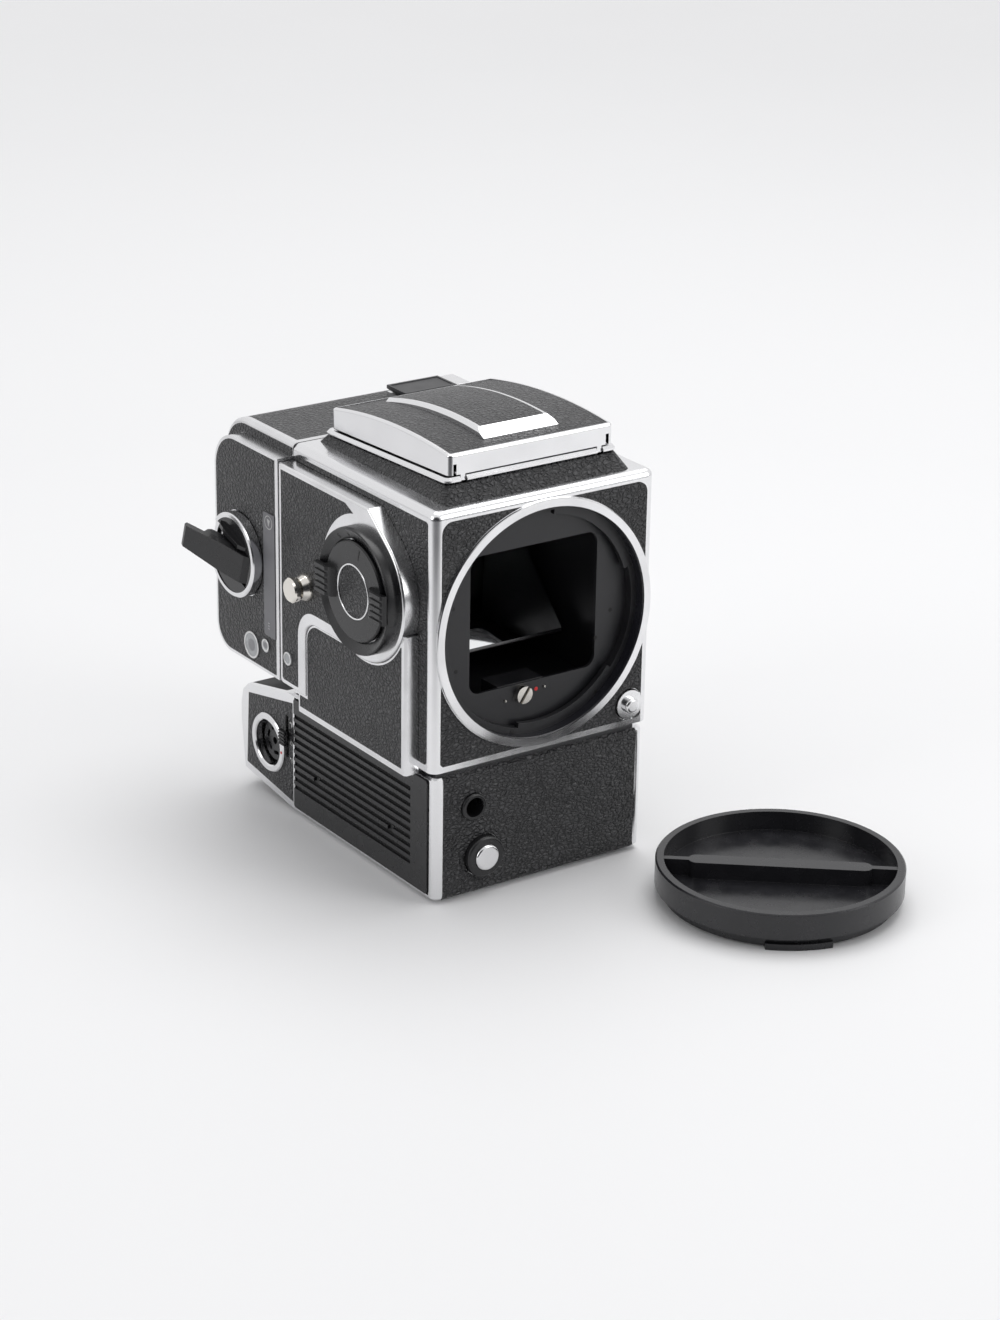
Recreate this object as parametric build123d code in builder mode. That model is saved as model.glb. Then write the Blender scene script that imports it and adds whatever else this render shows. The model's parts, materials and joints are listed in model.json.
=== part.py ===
"""Motor-drive 6x6 single-lens reflex camera body with a 120 film magazine, a folded
waist-level hood and a loose body cap.

Frame: origin on the optical axis at the lens mount's flange plane, +Z up, the lens side
faces -Y, the mode dial and the film crank are on the -X side. Millimetres.
"""
from math import acos, atan2, cos, pi, radians, sin, sqrt, tan
import os

from build123d import *

os.makedirs("parts", exist_ok=True)

# Named clearances
running_gap = 0.3
shaft_gap = 0.05
seat_gap = 0.1

# Camera body, from the optical axis and the flange plane
body_width = 86.5
body_depth = 84.0
body_top = 44.8
body_bottom = -43.9
body_wall = 3.0
edge_round = 3.0
leather_thick = 0.5

# Lens mount and baffle
mount_bore_r = 39.5
mount_ring_r = 42.25
mount_flange = 1.1
mount_sleeve = 3.0
bayonet_r = 35.6
bayonet_depth = 3.1
baffle_thick = 1.2
baffle_window = 50.0
baffle_window_low = -22.4
baffle_window_high = 25.0
drive_shaft_r = 3.0
drive_shaft_x = -4.3
lock_x = 35.3
lock_z = -36.5
lock_r = 5.1

# Mirror, its box and the rear shutter flaps
mirror_length = 68.3
mirror_half = 27.5
mirror_plate = 1.0
mirror_glass_thick = 1.2
box_half = 31.5
box_floor = -31.0
box_wall = 1.2
flap_length = 28.0
flap_half = 27.5
flap_thick = 0.8

# Focusing screen and hood
screen_half = 29.0
screen_front = 20.0
screen_rear = 78.0
screen_thick = 2.5
skirt_height = 2.4
flange_thick = 2.4
flange_drop = 2.6
lid_half = 32.0
lid_length = 69.6
lid_wall = 1.2
lid_front_height = 6.8
lid_rear_height = 6.7
lid_crown = 2.8
block_half = 14.5
panel_thick = 0.8
side_panel_height = 27.3
rear_panel_height = 17.5
hinge_rod_r = 0.9
magnifier_r = 12.5
magnifier_lens_r = 10.4

# Raised winder plate, mode dial and gear case on the -X side
plate_rise = 6.15
case_rise = 5.25
dial_y = 33.0
dial_z = 11.1
dial_r = 21.2
dial_height = 3.8
knob_r = 16.9
knob_height = 4.0
knob_lug_height = 3.5
knob_trim_r = 9.35
plate_arc_r = 24.2
plate_top = 39.4
plate_bottom = -38.6
band_z = -11.4
band_y = 69.4
case_front = 9.0
stud_y = 67.8
stud_z = 1.0
stud_r = 4.3
signal_r = 2.4

# Gear train in the raised case
gear_module = 1.0
gear_thick = 2.6
winding_teeth = 34
idler_teeth = 30
pinion_teeth = 12
backlash = 0.3

# Motor base
base_inset = 1.15
base_gap = 2.2
base_height = 43.5
base_wall = 2.4
base_tail = 38.7
foot_height = 1.5
cell_length = 50.5
cell_count = 5
cover_height = 41.0
cover_depth = 1.6
groove_count = 10
socket_r = 10.7
socket_depth = 8.0
release_r = 4.5
port_r = 3.4
tripod_r = 4.76
tripod_depth = 6.0
motor_r = 6.6
motor_length = 46.0

# Film magazine
magazine_depth = 45.1
magazine_top = 44.9
magazine_bottom = -43.5
magazine_wall = 3.0
side_cover_top = 40.5
side_cover_bottom = -38.3
film_gate = 56.0
slide_thick = 0.6
spool_r = 11.8
spool_core_r = 5.5
spool_length = 65.2
spool_flange = 1.2
roll_r = 11.0
crank_r = 14.8
crank_length = 27.0
crank_open = 22.0
crank_turn = 18.0

# Body cap lying beside the camera
cap_x = 58.2
cap_y = -53.6
cap_r = 41.2
cap_height = 13.2
cap_turn = -39.4

# Places that follow from the driving sizes
half_body = body_width / 2
body_front = mount_flange
body_rear = body_front + body_depth
plate_x = -half_body - plate_rise
case_x = -half_body - case_rise
base_half = half_body - base_inset
base_front = body_front + 0.3
base_top = body_bottom - base_gap
base_bottom = base_top - base_height
base_rear = body_rear + base_tail
floor_z = base_bottom - foot_height
magazine_front = body_rear + running_gap
magazine_rear = magazine_front + magazine_depth


def write(piece, label):
    """Label a finished piece and write its STEP file."""
    piece.part.label = label
    export_step(piece.part, f"parts/{label}.step")


def side_plane(x):
    """Plane of constant x: local axes are Y and Z, extrusion goes to +X."""
    return Plane.YZ.offset(x)


def front_plane(y):
    """Plane of constant y: local axes are X and Z, extrusion goes to -Y."""
    return Plane.XZ.offset(-y)


def flat_plane(z):
    """Plane of constant z: local axes are X and Y, extrusion goes to +Z."""
    return Plane.XY.offset(z)


def block(low, high, mode=Mode.ADD):
    """Box between its lowest and highest corners."""
    size = [b - a for a, b in zip(low, high)]
    middle = [(a + b) / 2 for a, b in zip(low, high)]
    with Locations(tuple(middle)):
        Box(*size, mode=mode)


def rod_x(radius, x0, x1, y, z, mode=Mode.ADD):
    """Cylinder along X."""
    with Locations(((x0 + x1) / 2, y, z)):
        Cylinder(radius, abs(x1 - x0), rotation=(0, 90, 0), mode=mode)


def rod_y(radius, y0, y1, x, z, mode=Mode.ADD):
    """Cylinder along Y."""
    with Locations((x, (y0 + y1) / 2, z)):
        Cylinder(radius, abs(y1 - y0), rotation=(90, 0, 0), mode=mode)


def rod_z(radius, z0, z1, x, y, mode=Mode.ADD):
    """Cylinder along Z."""
    with Locations((x, y, (z0 + z1) / 2)):
        Cylinder(radius, abs(z1 - z0), mode=mode)


def slab(low_x, low_y, high_x, high_y, mode=Mode.ADD):
    """Rectangle between two corners of the open sketch."""
    with Locations(((low_x + high_x) / 2, (low_y + high_y) / 2)):
        Rectangle(high_x - low_x, high_y - low_y, mode=mode)


def shape(points, mode=Mode.ADD):
    """Straight-sided face through the given points of the open sketch."""
    Polygon(*points, align=None, mode=mode)


def round_corner(sketch, point, radius):
    """Round the corner of the open sketch that lies nearest a point."""
    fillet(sketch.vertices().sort_by_distance((point[0], point[1], 0))[0], radius)


# Side view of the motor base, in (y, z)
base_kink = body_rear - 0.4
base_profile = [
    (base_front, base_bottom),
    (base_front, base_top),
    (body_rear + 3.4, base_top),
    (base_rear - 5.0, base_top - 6.4),
    (base_rear - 1.4, base_top - 9.6),
    (base_rear, base_top - 15.0),
    (base_rear, base_top - 21.0),
    (base_rear - 2.3, base_bottom + 4.6),
    (base_kink, base_bottom),
]

# Battery cover and bay
cover_front = base_front + 3.2
cover_rear = body_rear + 2.9
cover_top = base_top - 1.0
cover_bottom = cover_top - cover_height
bay_y = (cover_front + cover_rear) / 2 + 2.15
cell_pitch = (cover_rear - cover_front - 9.9) / cell_count
cell_r = (cell_pitch - 0.3) / 2
bay_half = cell_count * cell_pitch / 2 + 0.8
bay_low = base_bottom + 8.9
bay_high = bay_low + 2 * cell_r + 2.0
cell_z = (bay_low + bay_high) / 2
bay_wall = 1.2
bay_outer_x = -base_half + cover_depth
bay_inner_x = bay_outer_x + cell_length + 3.0

# Openings of the base's outer walls
socket_y = base_rear - 18.7
socket_z = base_top - 23.8
release_x = -base_half + 19.3
release_z = base_bottom + 12.6
port_x = release_x - 4.0
port_z = base_top - 12.6
bezel_r = release_r + 2.7
liner_r = port_r + 1.3
tripod_y = body_rear / 2 + 1.5
lever_y = socket_y - socket_r - 1.6
lever_z = socket_z + 6.6
lever_travel = 6.0

# Gear train: a winding gear behind the dial, an idler, and the motor's pinion
gear_inner_x = -half_body - 1.05
gear_outer_x = gear_inner_x - gear_thick
pocket_x = gear_outer_x - 0.4
gear_addendum = 0.8 * gear_module
gear_dedendum = 1.05 * gear_module
idler_angle = -80.0
pinion_angle = -45.0
idler_distance = gear_module * (winding_teeth + idler_teeth) / 2
pinion_distance = gear_module * (idler_teeth + pinion_teeth) / 2
idler_y = dial_y + idler_distance * cos(radians(idler_angle))
idler_z = dial_z + idler_distance * sin(radians(idler_angle))
pinion_y = idler_y + pinion_distance * cos(radians(pinion_angle))
pinion_z = idler_z + pinion_distance * sin(radians(pinion_angle))
gear_shaft_r = 2.0
winding_shaft_r = 3.0
knob_stem_r = 4.0

# Gear housing of the motor, passing up beside the mirror box
housing_outer_x = -half_body + body_wall + 1.8
housing_inner_x = -box_half - box_wall - 0.5
housing_half = 8.0
housing_top = pinion_z + gear_shaft_r + 2.6
motor_z = base_top - base_wall - motor_r - 0.5
slot_low = (housing_outer_x - 0.4, pinion_y - housing_half - 0.4)
slot_high = (housing_inner_x + 0.4, pinion_y + housing_half + 0.4)

# Leather patches let into the base, used for the recesses and for the leather
with BuildSketch() as base_far_patch:
    shape([(8.0, base_bottom + 2.4), (8.0, base_top - 2.4), (body_rear + 3.0, base_top - 2.4),
           (base_rear - 6.6, base_top - 9.0), (base_rear - 4.4, base_bottom + 6.4),
           (base_kink - 0.6, base_bottom + 2.4)])
with BuildSketch() as base_tail_patch:
    shape([(cover_rear + 1.2, base_bottom + 2.9), (cover_rear + 1.2, base_top - 3.6),
           (base_rear - 5.2, base_top - 9.6), (base_rear - 3.6, base_bottom + 7.0)])

# Motor base shell
with BuildPart() as base_shell:
    with BuildSketch(side_plane(-base_half)):
        shape(base_profile)
    extrude(amount=2 * base_half)
    fillet(base_shell.edges().filter_by(Axis.Z).group_by(Axis.Y)[0], edge_round)
    chamfer(base_shell.faces().sort_by(Axis.Y)[0].edges().filter_by(Axis.X), 0.8)
    with BuildSketch(side_plane(-base_half + base_wall)):
        shape(base_profile)
        offset(amount=-base_wall, mode=Mode.REPLACE)
    extrude(amount=2 * (base_half - base_wall), mode=Mode.SUBTRACT)
    block((-base_half + 0.5, bay_y - bay_half - bay_wall, bay_low - bay_wall),
          (bay_inner_x + bay_wall, bay_y + bay_half + bay_wall, bay_high + bay_wall))
    block((-base_half - 1, bay_y - bay_half, bay_low), (bay_inner_x, bay_y + bay_half, bay_high),
          mode=Mode.SUBTRACT)
    block((-base_half - 1, cover_front, cover_bottom), (bay_outer_x, cover_rear, cover_top),
          mode=Mode.SUBTRACT)
    # recesses of the leather: front, far side, and the tail on the dial side
    with BuildSketch(front_plane(base_front + leather_thick)):
        slab(-base_half + 3.4, base_bottom + 1.4, base_half - 3.4, base_top - 2.0)
    extrude(amount=leather_thick + 1, mode=Mode.SUBTRACT)
    with BuildSketch(side_plane(base_half - leather_thick)):
        add(base_far_patch.sketch)
    extrude(amount=leather_thick + 1, mode=Mode.SUBTRACT)
    with BuildSketch(side_plane(-base_half)):
        add(base_tail_patch.sketch)
    extrude(amount=leather_thick, mode=Mode.SUBTRACT)
    # holes of the socket, the lever, the release, the port, the drive and the tripod bush
    rod_x(socket_r, -base_half - 1, -base_half + base_wall + 1, socket_y, socket_z,
          mode=Mode.SUBTRACT)
    block((-base_half - 1, lever_y - 0.9, lever_z - lever_travel - 1.7),
          (-base_half + base_wall + 1, lever_y + 0.9, lever_z + lever_travel + 1.7),
          mode=Mode.SUBTRACT)
    rod_y(bezel_r + 0.1, base_front - 1, base_front + base_wall + 1, release_x, release_z,
          mode=Mode.SUBTRACT)
    rod_y(liner_r + 0.1, base_front - 1, base_front + base_wall + 1, port_x, port_z,
          mode=Mode.SUBTRACT)
    block((*slot_low, base_top - base_wall - 1), (*slot_high, base_top + 1), mode=Mode.SUBTRACT)
    rod_z(tripod_r + 2.4, base_bottom - 1, base_bottom + base_wall + 1, 0, tripod_y,
          mode=Mode.SUBTRACT)
write(base_shell, "base_shell")

with BuildPart() as base_leather:
    with BuildSketch(front_plane(base_front + leather_thick)):
        slab(-base_half + 3.5, base_bottom + 1.5, base_half - 3.5, base_top - 2.1)
        with Locations((release_x, release_z)):
            Circle(bezel_r + 0.2, mode=Mode.SUBTRACT)
        with Locations((port_x, port_z)):
            Circle(liner_r + 0.2, mode=Mode.SUBTRACT)
    extrude(amount=leather_thick + 0.1)
    with BuildSketch(side_plane(base_half - leather_thick)):
        add(base_far_patch.sketch)
        offset(amount=-0.1, mode=Mode.REPLACE)
    extrude(amount=leather_thick + 0.1)
    with BuildSketch(side_plane(-base_half - 0.1)):
        add(base_tail_patch.sketch)
        offset(amount=-0.1, mode=Mode.REPLACE)
        with Locations((socket_y, socket_z)):
            Circle(socket_r + 0.1, mode=Mode.SUBTRACT)
        slab(lever_y - 1.0, lever_z - lever_travel - 1.8, lever_y + 1.0,
             lever_z + lever_travel + 1.8, mode=Mode.SUBTRACT)
    extrude(amount=leather_thick + 0.1)
write(base_leather, "base_leather")

# Dark spacer between the base and the body
with BuildPart() as base_spacer:
    block((-half_body + 3.5, body_front + 3.5, base_top), (half_body - 3.5, body_rear - 2, body_bottom))
    block((*slot_low, base_top - 1), (*slot_high, body_bottom + 1), mode=Mode.SUBTRACT)
write(base_spacer, "base_spacer")

# Ribbed battery cover with recesses for two screws
groove_top = base_top - 7.5
groove_pitch = (groove_top - base_bottom - 9.8) / (groove_count - 1)
with BuildPart() as battery_cover:
    block((-base_half - 0.6, cover_front + running_gap, cover_bottom + running_gap),
          (bay_outer_x - 0.1, cover_rear - running_gap, cover_top - running_gap))
    fillet(battery_cover.edges().filter_by(Axis.X), 1.0)
    for i in range(groove_count):
        z = groove_top - i * groove_pitch
        block((-base_half - 1, cover_front + 9.9, z - 0.75), (-base_half + 0.5, cover_rear + 1, z + 0.75),
              mode=Mode.SUBTRACT)
    for y in (cover_front + 22.0, cover_rear - 15.0):
        rod_x(1.6, -base_half - 1, -base_half + 1.0, y, base_bottom + 17.0, mode=Mode.SUBTRACT)
write(battery_cover, "battery_cover")

# Cassette in the bay: a tray with a round bed for each cell
with BuildPart() as battery_cassette:
    block((bay_outer_x + 0.5, bay_y - bay_half + 0.05, bay_low + 0.05),
          (bay_inner_x - 0.05, bay_y + bay_half - 0.05, cell_z))
    for i in range(cell_count):
        y = bay_y + (i - (cell_count - 1) / 2) * cell_pitch
        rod_x(cell_r + 0.05, bay_outer_x + 1.4, bay_outer_x + cell_length + 1.6, y, cell_z,
              mode=Mode.SUBTRACT)
write(battery_cassette, "battery_cassette")

with BuildPart() as battery_cells:
    for i in range(cell_count):
        y = bay_y + (i - (cell_count - 1) / 2) * cell_pitch
        start = bay_outer_x + 1.5
        rod_x(cell_r, start, start + cell_length - 1.2, y, cell_z)
        rod_x(2.7, start + cell_length - 1.3, start + cell_length, y, cell_z)
write(battery_cells, "battery_cells")

# Electric motor and its closed gear housing
with BuildPart() as drive_motor:
    motor_end = housing_inner_x + motor_length
    rod_x(motor_r, housing_inner_x - 1, motor_end, pinion_y, motor_z)
    rod_x(2.6, motor_end, motor_end + 2.5, pinion_y, motor_z)
    block((housing_outer_x, pinion_y - housing_half, motor_z - motor_r),
          (housing_inner_x, pinion_y + housing_half, housing_top))
    fillet(drive_motor.edges().filter_by(Axis.X).group_by(Axis.Z)[-1], 2.0)
    rod_x(gear_shaft_r + shaft_gap, housing_outer_x - 1, housing_inner_x - 1.0, pinion_y, pinion_z,
          mode=Mode.SUBTRACT)
write(drive_motor, "drive_motor")

with BuildPart() as front_release_button:
    rod_y(release_r, base_front - 3.4, base_front + 1.4, release_x, release_z)
    fillet(front_release_button.edges().group_by(Axis.Y)[0], 0.9)
write(front_release_button, "front_release_button")

# Round remote socket: silver cup and its contact block
with BuildPart() as round_socket:
    rod_x(socket_r - 0.05, -base_half - 0.8, -base_half + socket_depth, socket_y, socket_z)
    rod_x(socket_r - 2.6, -base_half - 1, -base_half + socket_depth - 1.0, socket_y, socket_z,
          mode=Mode.SUBTRACT)
    chamfer(round_socket.edges().group_by(Axis.X)[0], 0.4)
write(round_socket, "round_socket")

# Black inserts: contact block, bezel of the front release, liner of the port
with BuildPart() as socket_inserts:
    rod_x(socket_r - 3.6, -base_half + 2.4, -base_half + socket_depth - 1.0, socket_y, socket_z)
    with BuildSketch(side_plane(-base_half + 2.4)):
        with Locations((socket_y, socket_z)):
            Circle(1.3)
            with PolarLocations(4.4, 6, start_angle=20):
                SlotOverall(3.2, 1.3, rotation=90)
    extrude(amount=1.6, mode=Mode.SUBTRACT)
    rod_y(bezel_r, base_front - 2.4, base_front + 5.6, release_x, release_z)
    rod_y(liner_r, base_front - 1.1, base_front + 8.0, port_x, port_z)
    fillet(socket_inserts.edges().group_by(Axis.Y)[0], 1.0)
    fillet(socket_inserts.edges().filter_by_position(Axis.Y, base_front - 1.15, base_front - 1.05), 0.7)
    rod_y(release_r + shaft_gap, base_front - 3, base_front + 4.6, release_x, release_z,
          mode=Mode.SUBTRACT)
    rod_y(port_r, base_front - 2, base_front + 7.5, port_x, port_z, mode=Mode.SUBTRACT)
write(socket_inserts, "socket_inserts")

# Three-position selector: finger piece outside, guide in the wall's slot
with BuildPart() as selector_lever:
    block((-base_half - 2.6, lever_y - 1.8, lever_z - 2.6),
          (-base_half - 1.1, lever_y + 2.0, lever_z + 2.6))
    block((-base_half - 1.6, lever_y - 0.8, lever_z - 1.4),
          (-base_half + base_wall + 0.4, lever_y + 0.8, lever_z + 1.4))
    block((-base_half + base_wall + 0.3, lever_y - 2.0, lever_z - 1.4),
          (-base_half + base_wall + 1.2, lever_y + 0.8, lever_z + 1.4))
    for i in range(4):
        z = lever_z - 1.8 + i * 1.2
        block((-base_half - 3, lever_y - 2, z - 0.3), (-base_half - 2.2, lever_y + 4, z + 0.3),
              mode=Mode.SUBTRACT)
write(selector_lever, "selector_lever")

# Tripod bush in the underside and four feet
with BuildPart() as tripod_bush:
    rod_z(tripod_r + 2.3, base_bottom, base_bottom + tripod_depth + 0.9, 0, tripod_y)
    rod_z(tripod_r + 4.4, base_bottom + base_wall, base_bottom + base_wall + 1.4, 0, tripod_y)
    rod_z(tripod_r, base_bottom - 1, base_bottom + tripod_depth, 0, tripod_y, mode=Mode.SUBTRACT)
write(tripod_bush, "tripod_bush")

foot_x = base_half - 8.0
with BuildPart() as base_feet:
    for x in (-foot_x, foot_x):
        for y in (base_front + 6.0, base_kink - 6.0):
            rod_z(3.0, floor_z, base_bottom, x, y)
    chamfer(base_feet.edges().group_by(Axis.Z)[0], 0.4)
write(base_feet, "base_feet")


def front_patch(inset):
    """Four leather corners round the lens mount, moved in from their recesses' edges."""
    low = (-half_body + 3.1 + inset, body_bottom + 2.0 + inset)
    high = (half_body - 3.1 - inset, body_top - 3.4 - inset)
    with BuildSketch() as patch:
        slab(*low, *high)
        for x in (low[0], high[0]):
            round_corner(patch, (x, high[1]), 4.0)
            round_corner(patch, (x, low[1]), 1.5)
        Circle(mount_ring_r + 0.15 + inset, mode=Mode.SUBTRACT)
    return patch.sketch


with BuildSketch() as side_patch:
    slab(body_front + 3.4, body_bottom + 2.4, body_rear - 1.6, body_top - 3.6)
    fillet(side_patch.vertices(), 1.2)

# Camera body casing, with the screen's seat under the roof
screen_z = body_top - body_wall - 2.8
with BuildPart() as body_shell:
    block((-half_body, body_front, body_bottom), (half_body, body_rear, body_top))
    fillet(body_shell.edges().filter_by(Axis.Z).group_by(Axis.Y)[0], edge_round)
    fillet(body_shell.faces().sort_by(Axis.Z)[-1].outer_wire().edges().sort_by(Axis.Y)[:-1],
           edge_round - 0.4)
    block((-half_body + body_wall, body_front + body_wall, body_bottom + body_wall),
          (half_body - body_wall, body_rear - body_wall, body_top - body_wall), mode=Mode.SUBTRACT)
    block((-screen_half - 4, screen_front - 5, screen_z - 3),
          (screen_half + 4, body_rear - 1, body_top - 1))
    block((-screen_half + 1.5, screen_front + 1.5, screen_z - 15),
          (screen_half - 1.5, screen_rear - 1.5, body_top + 1), mode=Mode.SUBTRACT)
    block((-screen_half - 0.1, screen_front - 0.1, screen_z),
          (screen_half + 0.1, screen_rear + 0.1, body_top + 1), mode=Mode.SUBTRACT)
    rod_y(mount_bore_r + 1.05, body_front - 1, body_front + body_wall, 0, 0, mode=Mode.SUBTRACT)
    block((-box_half - box_wall - 0.1, body_rear - body_wall - 1, box_floor - box_wall - 0.1),
          (box_half + box_wall + 0.1, body_rear + 1, -box_floor + 3.1), mode=Mode.SUBTRACT)
    block((*slot_low, body_bottom - 1), (*slot_high, body_bottom + body_wall + 1), mode=Mode.SUBTRACT)
    # shafts through the side wall, and the lens lock's pocket with its guide
    rod_x(winding_shaft_r + shaft_gap, -half_body - 1, -half_body + body_wall + 1, dial_y, dial_z,
          mode=Mode.SUBTRACT)
    rod_x(gear_shaft_r + running_gap, -half_body - 1, -half_body + body_wall + 1, pinion_y, pinion_z,
          mode=Mode.SUBTRACT)
    block((lock_x - 6, body_front + 2, body_bottom + 1), (half_body - 1, body_front + 6, lock_z + 6))
    rod_y(lock_r + running_gap, body_front - 1, body_front + 3.2, lock_x, lock_z, mode=Mode.SUBTRACT)
    rod_y(2.4 + shaft_gap, body_front, body_front + 8, lock_x, lock_z, mode=Mode.SUBTRACT)
    # recesses of the leather on the front and on both sides
    with BuildSketch(front_plane(body_front + leather_thick)):
        add(front_patch(0))
    extrude(amount=leather_thick + 1, mode=Mode.SUBTRACT)
    with BuildSketch(side_plane(half_body - leather_thick)):
        add(side_patch.sketch)
    extrude(amount=leather_thick + 1, mode=Mode.SUBTRACT)
    with BuildSketch(side_plane(-half_body)):
        add(side_patch.sketch)
    extrude(amount=leather_thick, mode=Mode.SUBTRACT)
write(body_shell, "body_shell")

# Raised winder plate outline: tangent from its top edge round the dial
top_start = 30.0
tangent_reach = sqrt((top_start - dial_y) ** 2 + (plate_top - dial_z) ** 2)
tangent_angle = atan2(plate_top - dial_z, top_start - dial_y) + acos(plate_arc_r / tangent_reach)
tangent_point = (dial_y + plate_arc_r * cos(tangent_angle), dial_z + plate_arc_r * sin(tangent_angle))
plate_rear = body_rear - 0.1
signal_y = plate_rear - 5.4
signal_z = plate_bottom + 10.2
with BuildSketch() as plate_face:
    shape([(plate_rear, plate_bottom), (plate_rear, plate_top), (top_start, plate_top), tangent_point,
           (dial_y, dial_z), (dial_y + 5, band_z), (band_y, band_z), (band_y, plate_bottom)])
    round_corner(plate_face, (band_y, band_z), 7.0)
    round_corner(plate_face, (plate_rear, plate_bottom), 2.0)
    with Locations((dial_y, dial_z)):
        Circle(plate_arc_r)
with BuildSketch() as plate_grown:
    add(plate_face.sketch)
    offset(amount=0.15)
with BuildSketch() as plate_patch:
    shape([(plate_rear - 1.8, plate_bottom + 1.8), (plate_rear - 1.8, plate_top - 1.8),
           (43.5, plate_top - 1.8), (37.5, plate_top - 4.6), (37.5, dial_z), (48.8, band_z + 4.0),
           (band_y + 4.0, band_z + 4.0), (band_y + 4.0, plate_bottom + 1.8)])
    round_corner(plate_patch, (band_y + 4.0, band_z + 4.0), 3.0)
    round_corner(plate_patch, (plate_rear - 1.8, plate_bottom + 1.8), 1.2)
    with Locations((dial_y, dial_z)):
        Circle(plate_arc_r + 0.7, mode=Mode.SUBTRACT)

# Gear case outline: what shows below the plate
case_bottom = base_top + 0.2
case_foot = band_y + 5.0
with BuildSketch() as case_face:
    shape([(case_front, case_bottom), (case_front, 2.0), (band_y - 0.15, 2.0),
           (band_y - 0.15, plate_bottom - 0.15), (case_foot, plate_bottom - 0.15),
           (case_foot, case_bottom)])
    add(plate_grown.sketch, mode=Mode.SUBTRACT)
with BuildSketch() as plate_border:
    add(plate_face.sketch)
    offset(amount=0.8)
with BuildSketch() as case_patch:
    shape([(case_front + 2.4, case_bottom + 2.1), (case_front + 2.4, -2.0), (band_y - 0.8, -2.0),
           (band_y - 0.8, plate_bottom - 1.2), (case_foot - 0.8, plate_bottom - 1.2),
           (case_foot - 0.8, case_bottom + 2.1)])
    add(plate_border.sketch, mode=Mode.SUBTRACT)


def cut_gear_pockets():
    """Pockets in which the three gears turn, open towards the body."""
    for teeth, y, z in ((winding_teeth, dial_y, dial_z), (idler_teeth, idler_y, idler_z),
                        (pinion_teeth, pinion_y, pinion_z)):
        tip = gear_module * teeth / 2 + gear_addendum
        rod_x(tip + 0.7, pocket_x, -half_body + 0.1, y, z, mode=Mode.SUBTRACT)


with BuildPart() as winder_plate:
    with BuildSketch(side_plane(plate_x)):
        add(plate_face.sketch)
    extrude(amount=plate_rise)
    fillet(winder_plate.faces().sort_by(Axis.X)[0].outer_wire().edges(), 0.8)
    cut_gear_pockets()
    rod_x(knob_stem_r + shaft_gap, plate_x - 1, plate_x + 3, dial_y, dial_z, mode=Mode.SUBTRACT)
    with BuildSketch(side_plane(plate_x)):
        add(plate_patch.sketch)
    extrude(amount=leather_thick, mode=Mode.SUBTRACT)
    rod_x(signal_r + 0.1, plate_x - 1, plate_x + 2.0, signal_y, signal_z, mode=Mode.SUBTRACT)
write(winder_plate, "winder_plate")

# Gear case with the idler's fixed axle
with BuildPart() as gear_case:
    with BuildSketch(side_plane(case_x)):
        add(case_face.sketch)
    extrude(amount=case_rise)
    chamfer(gear_case.edges().filter_by(Axis.Z).group_by(Axis.Y)[0].sort_by(Axis.X)[0], 0.8)
    cut_gear_pockets()
    rod_x(gear_shaft_r, pocket_x - 0.3, -half_body, idler_y, idler_z)
    with BuildSketch(side_plane(case_x)):
        add(case_patch.sketch)
    extrude(amount=leather_thick, mode=Mode.SUBTRACT)
write(gear_case, "gear_case")

with BuildPart() as winder_leather:
    with BuildSketch(side_plane(plate_x - 0.1)):
        add(plate_patch.sketch)
        with Locations((stud_y, stud_z)):
            Circle(stud_r + 0.1, mode=Mode.SUBTRACT)
        with Locations((signal_y, signal_z)):
            Circle(signal_r + 0.2, mode=Mode.SUBTRACT)
    extrude(amount=leather_thick + 0.1)
    with BuildSketch(side_plane(case_x - 0.1)):
        add(case_patch.sketch)
    extrude(amount=leather_thick + 0.1)
write(winder_leather, "winder_leather")

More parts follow.
